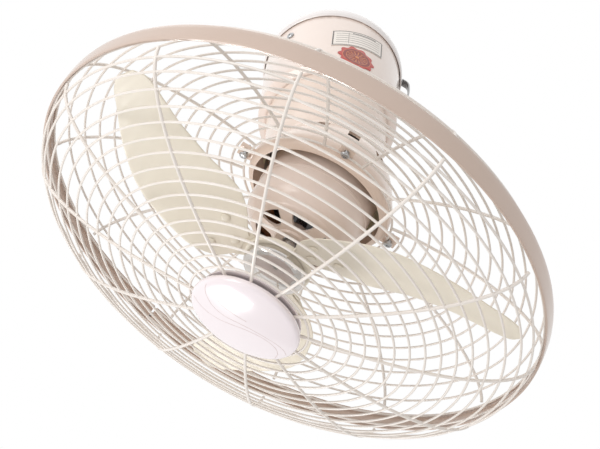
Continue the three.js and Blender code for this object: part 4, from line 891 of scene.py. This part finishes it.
def station(stations, radius):
    i = 1
    while i < len(stations) - 1 and stations[i][0] < radius:
        i += 1
    before, after = stations[i - 1], stations[i]
    share = (radius - before[0]) / (after[0] - before[0])
    return [before[k] + (after[k] - before[k]) * share for k in (1, 2)]


def blade_point(radius, angle, offset=0.0):
    """A place on the blade's middle surface; the angle is in degrees."""
    lead, trail = station(BLADE, radius)
    slope = 0.34 - 0.0007 * radius
    height = 96 + slope * radius * math.radians(angle - (lead + trail) / 2)
    return Vector((*polar(radius, math.radians(angle)), height + offset))


def plate_place(stations, offset):
    """The places on a curved plate that runs through rows of (radius, lead angle, trail angle)."""
    smooth = flowing(stations, 6)

    def place(u, v):
        index = u * (len(smooth) - 1)
        low = min(int(index), len(smooth) - 2)
        row = [a + (b - a) * (index - low) for a, b in zip(smooth[low], smooth[low + 1])]
        radius = min(max(row[0], stations[0][0]), stations[-1][0])
        return blade_point(radius, row[1] + (row[2] - row[1]) * v, offset)

    return place


def rivet_place(radius, angle):
    middle = blade_point(radius, angle)
    outer = blade_point(radius + 0.5, angle) - middle
    along = blade_point(radius, angle + math.degrees(0.5 / radius)) - middle
    return Matrix.Translation(middle) @ outer.cross(along).to_track_quat("Z", "Y").to_matrix().to_4x4()


spider = turned([(5.3, 79.4), (5.7, 79), (13.3, 79), (14, 79.7), (14, 90), (15.5, 92.1), (17.5, 92.5),
                 (33.4, 92.5), (34, 93.1), (34, 96.4), (33.4, 97), (24, 97), (23.4, 96.6), (9, 96.6),
                 (5.3, 96.6)], 128)
for turn in BLADE_TURNS:
    arm = sheet_of(30, 20, plate_place(ARM, -2.16), 2.4)
    spider = combined(spider, moved(soften(arm, 0.5, 2, 50), turn), "UNION")
piece("spider_casting", spider, "rotor", blade_enamel, "blade_spider", HEAD)

rivet_line = [(0, -5.6), (2.6, -5.6), (3.4, -5.2), (3.5, -4.2), (2, -4.2), (2, 0.9), (4.3, 0.9),
              (4.5, 1.15), (4.3, 1.7), (3.5, 2.3), (2.2, 2.62), (0, 2.7)]
for i, turn in enumerate(BLADE_TURNS):
    blade = soften(sheet_of(110, 30, plate_place(BLADE, 0), 1.2), 0.45, 3, 50)
    piece(f"swept_blade_{i + 1}", blade, "rotor", blade_enamel, f"blade_{i + 1}",
          HEAD @ turn)
    for k, (radius, angle) in enumerate(RIVETS):
        piece(f"rivet_{i + 1}_{k + 1}", turned(rivet_line, 40, closed=False), "rotor", blade_enamel,
              f"blade_{i + 1}_rivet_{k + 1}", HEAD @ turn @ rivet_place(radius, angle))

piece("shaft_nut", nut(5.3, 8.5, 102.8, 5.5), "rotor", zinc_steel, "hub_nut", HEAD)
cap_line = [(0, 115.2)] + flowing([(8, 115), (15, 114.3), (21, 112.9), (26, 110.9), (29.4, 108.4),
                                   (31.2, 105.6), (31.6, 103.8)], 4)
cap_line += [(31.2, 102.6), (30.4, 101.2), (30.1, 99.6), (29.9, 98.2), (29.6, 97.4), (29.2, 97.3),
             (27.6, 97.3), (27.4, 97.6), (28.6, 103), (26, 108), (18, 111.2), (0, 113)]
piece("domed_cap", turned(cap_line, 160, closed=False), "rotor", polished_chrome,
      "hub_cap", HEAD, 50)

# ------------------------------------------------------------------ wire cage
RIB_WIRE = 3.2
HOOP_WIRE = 2.3
CAGE_RADIUS = 255.2
REAR_INNER = 79


def front_height(radius):
    share = min(radius / CAGE_RADIUS, 1.0)
    return 83.6 + 76 * max(0.0, 1 - share**1.9) ** (1 / 2.2)


def rear_height(radius):
    share = max(0.0, min((radius - REAR_INNER) / (CAGE_RADIUS - REAR_INNER), 1.0))
    lean = math.asin(min(1.0, share ** (1 / 1.15)))
    return 70.4 - 64.4 * max(0.0, math.cos(lean)) ** 1.15


def cage(name, height_at, hoops, rib_radii, rib_offset, node_name):
    """Hoops in a row with twelve ribs laid across them, and a weld where each pair meets."""
    rings = bmesh.new()
    for radius in hoops:
        wire_ring(rings, radius, height_at(radius), HOOP_WIRE)
    bmesh.ops.remove_doubles(rings, verts=rings.verts, dist=0.001)
    path = [(radius, 0, height_at(radius) + rib_offset) for radius in rib_radii]
    rib = drawn(path, RIB_WIRE, 10, Vector((0, 1, 0)))
    for radius in hoops[1:-1]:
        weld = at(radius, 0, height_at(radius) + rib_offset * 0.5) @ Matrix.Diagonal((1.7, 2.6, 1.7, 1))
        bmesh.ops.create_uvsphere(rib, u_segments=10, v_segments=6, radius=1.0, matrix=weld)
    whole = outward(merged(rings, moved(repeated(rib, 12), about("Z", 14.5))))
    piece(name, whole, "orbit_head", wire_coating, node_name, HEAD, 60)


front_hoops = [47.6, 60, 73, 86.5, 99.5, 112.5, 126, 139, 152.5, 166, 179.5, 192.5, 205.5, 218, 231,
               242.5, 250.5, 255.2]
rear_hoops = [79.4, 93, 106, 119, 132, 145, 158, 171, 184, 197, 210, 223, 235.5, 247.5, 255.2]
front_rib = [47, 52, 58] + [64 + 8 * i for i in range(21)] + [230, 236, 241, 245, 248.5, 251, 253, 254.4]
rear_rib = [79, 84, 90] + [98 + 8 * i for i in range(16)] + [226, 233, 239, 244, 248, 251, 253, 254.4]
cage("front_cage_wires", front_height, front_hoops, front_rib, 0.3, "front_guard")
cage("rear_cage_wires", rear_height, rear_hoops, rear_rib, -0.3, "rear_guard")

# rim band with rolled edges, its clamp ears, screw and nut
BAND_MIDDLE = 77
EAR_HOLE = 264.5
CLAMP = HEAD @ about("Z", 100)
band_line = [(256.7, 67.0), (257.9, 67.0), (258.1, 67.3)]
band_line += flowing([(258.4, 68.6), (258.9, 71.5), (259.0, 75), (259.0, 79), (258.9, 82.5),
                      (258.6, 85.4)], 3)
band_line += [(258.4, 86.7), (258.1, 87.0), (256.7, 87.0), (256.7, 86.1), (257.7, 86.0),
              (258.1, 82), (258.1, 72), (257.7, 68.0), (256.7, 67.9)]
band = combined(turned(band_line, 288), slab((20, 3, 24), at(260, 0, BAND_MIDDLE)))
ears = []
for side in (-1, 1):
    ear = slab((10.5, 2, 12), at(263.5, side * 2.5, BAND_MIDDLE))
    ear = combined(ear, rod(SCREW_HOLE, -15, 15, 32, at(EAR_HOLE, 0, BAND_MIDDLE) @ about("X", 90)))
    ears.append(soften(ear, 0.6, 3, 40))
piece("rolled_band", merged(band, *ears), "orbit_head", band_enamel, "rim_band", CLAMP, 40)
placed_screw("clamp_fastener", "band_screw", 12.6, "orbit_head",
             CLAMP @ at(EAR_HOLE, 3.8, BAND_MIDDLE) @ about("X", -90))
piece("clamp_nut", nut(SCREW_HOLE, 4, 3, 3), "orbit_head", zinc_steel, "band_nut",
      CLAMP @ at(EAR_HOLE, -6.8, BAND_MIDDLE) @ about("X", -90))

# ------------------------------------------------------------------ badge
BADGE_SEAT = HEAD @ at(0, 0, 159.7)
badge_face = [(0, 14), (12, 13.8), (24, 13), (36, 11.6), (45, 10.1), (50.5, 8.8)]
badge_profile = badge_face[:1] + flowing(badge_face[1:], 4)
badge_profile += flowing([(52.8, 7.9), (54, 6.7), (54.5, 5.1), (54.3, 3.2), (53.5, 1.3), (52.6, 0.2)], 3)
badge_profile += [(52, 0), (50.2, 0), (50, 0.3), (51.2, 7), (38, 9.3), (6, 11), (6, -5.4),
                  (SCREW_HOLE, -5.4), (SCREW_HOLE, 2), (0, 2)]
badge = turned(badge_profile, 224, closed=False)


def badge_height(x, y):
    """The height of the badge's face at a place on it."""
    away = math.hypot(x, y)
    line = badge_face + [(54, 6.7)]
    for (near, start), (far, end) in zip(line, line[1:]):
        if away <= far:
            return start + (end - start) * (away - near) / (far - near)
    return line[-1][1]


# three long ridges that curve across the badge's face
SWEEPS = [
    [(44.6, 29.5), (36.3, 30.3), (27.8, 29.3), (19.7, 26), (11.7, 19.5), (4.2, 10.4), (-5.5, -1.3),
     (-16.9, -10), (-26.7, -13.2), (-36.0, -12.8), (-44.7, -7.3), (-50.5, 2.3)],
    [(51.5, 2.6), (47, 8), (39.5, 12), (28.2, 13.6), (15.5, 9.3), (5.1, 0.6), (-5.5, -7.6),
     (-14.8, -12.9), (-23.2, -16.4), (-33.1, -18.8), (-42.5, -17.9), (-50.5, -13)],
    [(40.3, -23.5), (41.4, -16.5), (40.9, -8.4), (38.0, -1.6), (33.0, 2.2), (26.3, 1.6), (17.9, -2.4),
     (10.8, -6.4), (3.3, -10.9)],
]
ridges = []
for sweep in SWEEPS:
    path = [(x, y, badge_height(x, y) - 0.12) for x, y in flowing(sweep, 5)]
    ridge = drawn(path, 0.62, 8, Vector((0, 0, 1)))
    # the ridges take the darker badge paint: painted shade along each raised line
    for face in ridge.faces:
        face.material_index = 1
    ridges.append(ridge)
piece("domed_badge", merged(badge, *ridges), "orbit_head", [badge_gloss, badge_ridge_painted_shade],
      "badge", BADGE_SEAT, 40)
backing = turned([(SCREW_HOLE, -5.7), (SCREW_HOLE, -8.7), (49, -8.7), (50.2, -8.1), (50.5, -7.3),
                  (50.5, -5.7), (47, -5.7), (46, -6.5), (12, -6.5), (11, -5.7)], 160)
piece("badge_clamp_disc", soften(backing, 0.3, 2, 40), "orbit_head", badge_gloss,
      "badge_backing", BADGE_SEAT)
placed_screw("badge_fastener", "badge_screw", 11, "orbit_head",
             BADGE_SEAT @ at(0, 0, -9) @ about("X", 180))

# ------------------------------------------------------------------ camera, light and surroundings
stage = bpy.context.scene
stage.view_settings.view_transform = "Standard"

heading, climb, roll = [math.radians(angle) for angle in (132.31, -55.88, 7.32)]
back = Vector((*polar(math.cos(climb), heading - math.pi / 2), math.sin(climb)))
level = Vector((*polar(1, heading), 0))
upright = back.cross(level)
right = level * math.cos(roll) + upright * math.sin(roll)
above = -level * math.sin(roll) + upright * math.cos(roll)
lens = bpy.data.cameras.new("camera")
lens.lens = 79.93
lens.sensor_width = 36
lens.clip_start = 0.05
lens.clip_end = 50
camera = bpy.data.objects.new("camera", lens)
stage.collection.objects.link(camera)
spot = Vector((531.59, 463.86, -1358.3)) * MM
camera.matrix_world = Matrix.Translation(spot) @ Matrix((right, above, back)).transposed().to_4x4()
stage.camera = camera

EVEN_LIGHT = 0.62
LIT_CENTRE = Vector((0, -0.06, -0.27))
FLOOR_HEIGHT = -1.75


def lamp(name, along, size, power):
    """A square soft light that faces the fan."""
    light = bpy.data.lights.new(name, "AREA")
    light.shape = "SQUARE"
    light.size = size
    light.energy = power
    item = bpy.data.objects.new(name, light)
    item.location = LIT_CENTRE + along
    item.rotation_euler = (-along).to_track_quat("-Z", "Y").to_euler()
    stage.collection.objects.link(item)


lamp("key light", back * 1.1 - right * 1.1 + above * 1.0, 1.0, 15.5)
lamp("fill light", back * 1.4 + right * 0.6 - above * 0.6, 1.4, 4)
lamp("top light", Vector((0.3, 0.2, 1.8)), 1.6, 4)
lamp("window light", Vector((-0.37, -1.51, -0.69)), 0.36, 11)

floor = bmesh.new()
bmesh.ops.create_grid(floor, x_segments=1, y_segments=1, size=6, matrix=at(0, 0, FLOOR_HEIGHT))
floor_mesh = bpy.data.meshes.new("floor")
floor.to_mesh(floor_mesh)
floor.free()
floor_finish = bpy.data.materials.new("pale floor")
floor_finish.use_nodes = True
pale = floor_finish.node_tree.nodes["Principled BSDF"].inputs
pale["Base Color"].default_value = (0.86, 0.86, 0.86, 1)
pale["Roughness"].default_value = 0.7
floor_mesh.materials.append(floor_finish)
ground = bpy.data.objects.new("floor", floor_mesh)
stage.collection.objects.link(ground)

world = bpy.data.worlds.new("white surroundings")
stage.world = world
world.use_nodes = True
sky = world.node_tree
sky.nodes.clear()
ray = sky.nodes.new("ShaderNodeLightPath")

# The camera, gloss and clear pieces see a white background. Everything else is lit a little less.
seen = math_node(sky, "MAXIMUM", ray.outputs["Is Camera Ray"], ray.outputs["Is Transmission Ray"])
seen = math_node(sky, "MAXIMUM", seen, ray.outputs["Is Glossy Ray"])
strength = math_node(sky, "MULTIPLY_ADD", seen, 1.0 - EVEN_LIGHT, EVEN_LIGHT)
surround = sky.nodes.new("ShaderNodeBackground")
surround.inputs["Color"].default_value = (1, 1, 1, 1)
sky.links.new(strength, surround.inputs["Strength"])
output = sky.nodes.new("ShaderNodeOutputWorld")
sky.links.new(surround.outputs[0], output.inputs["Surface"])
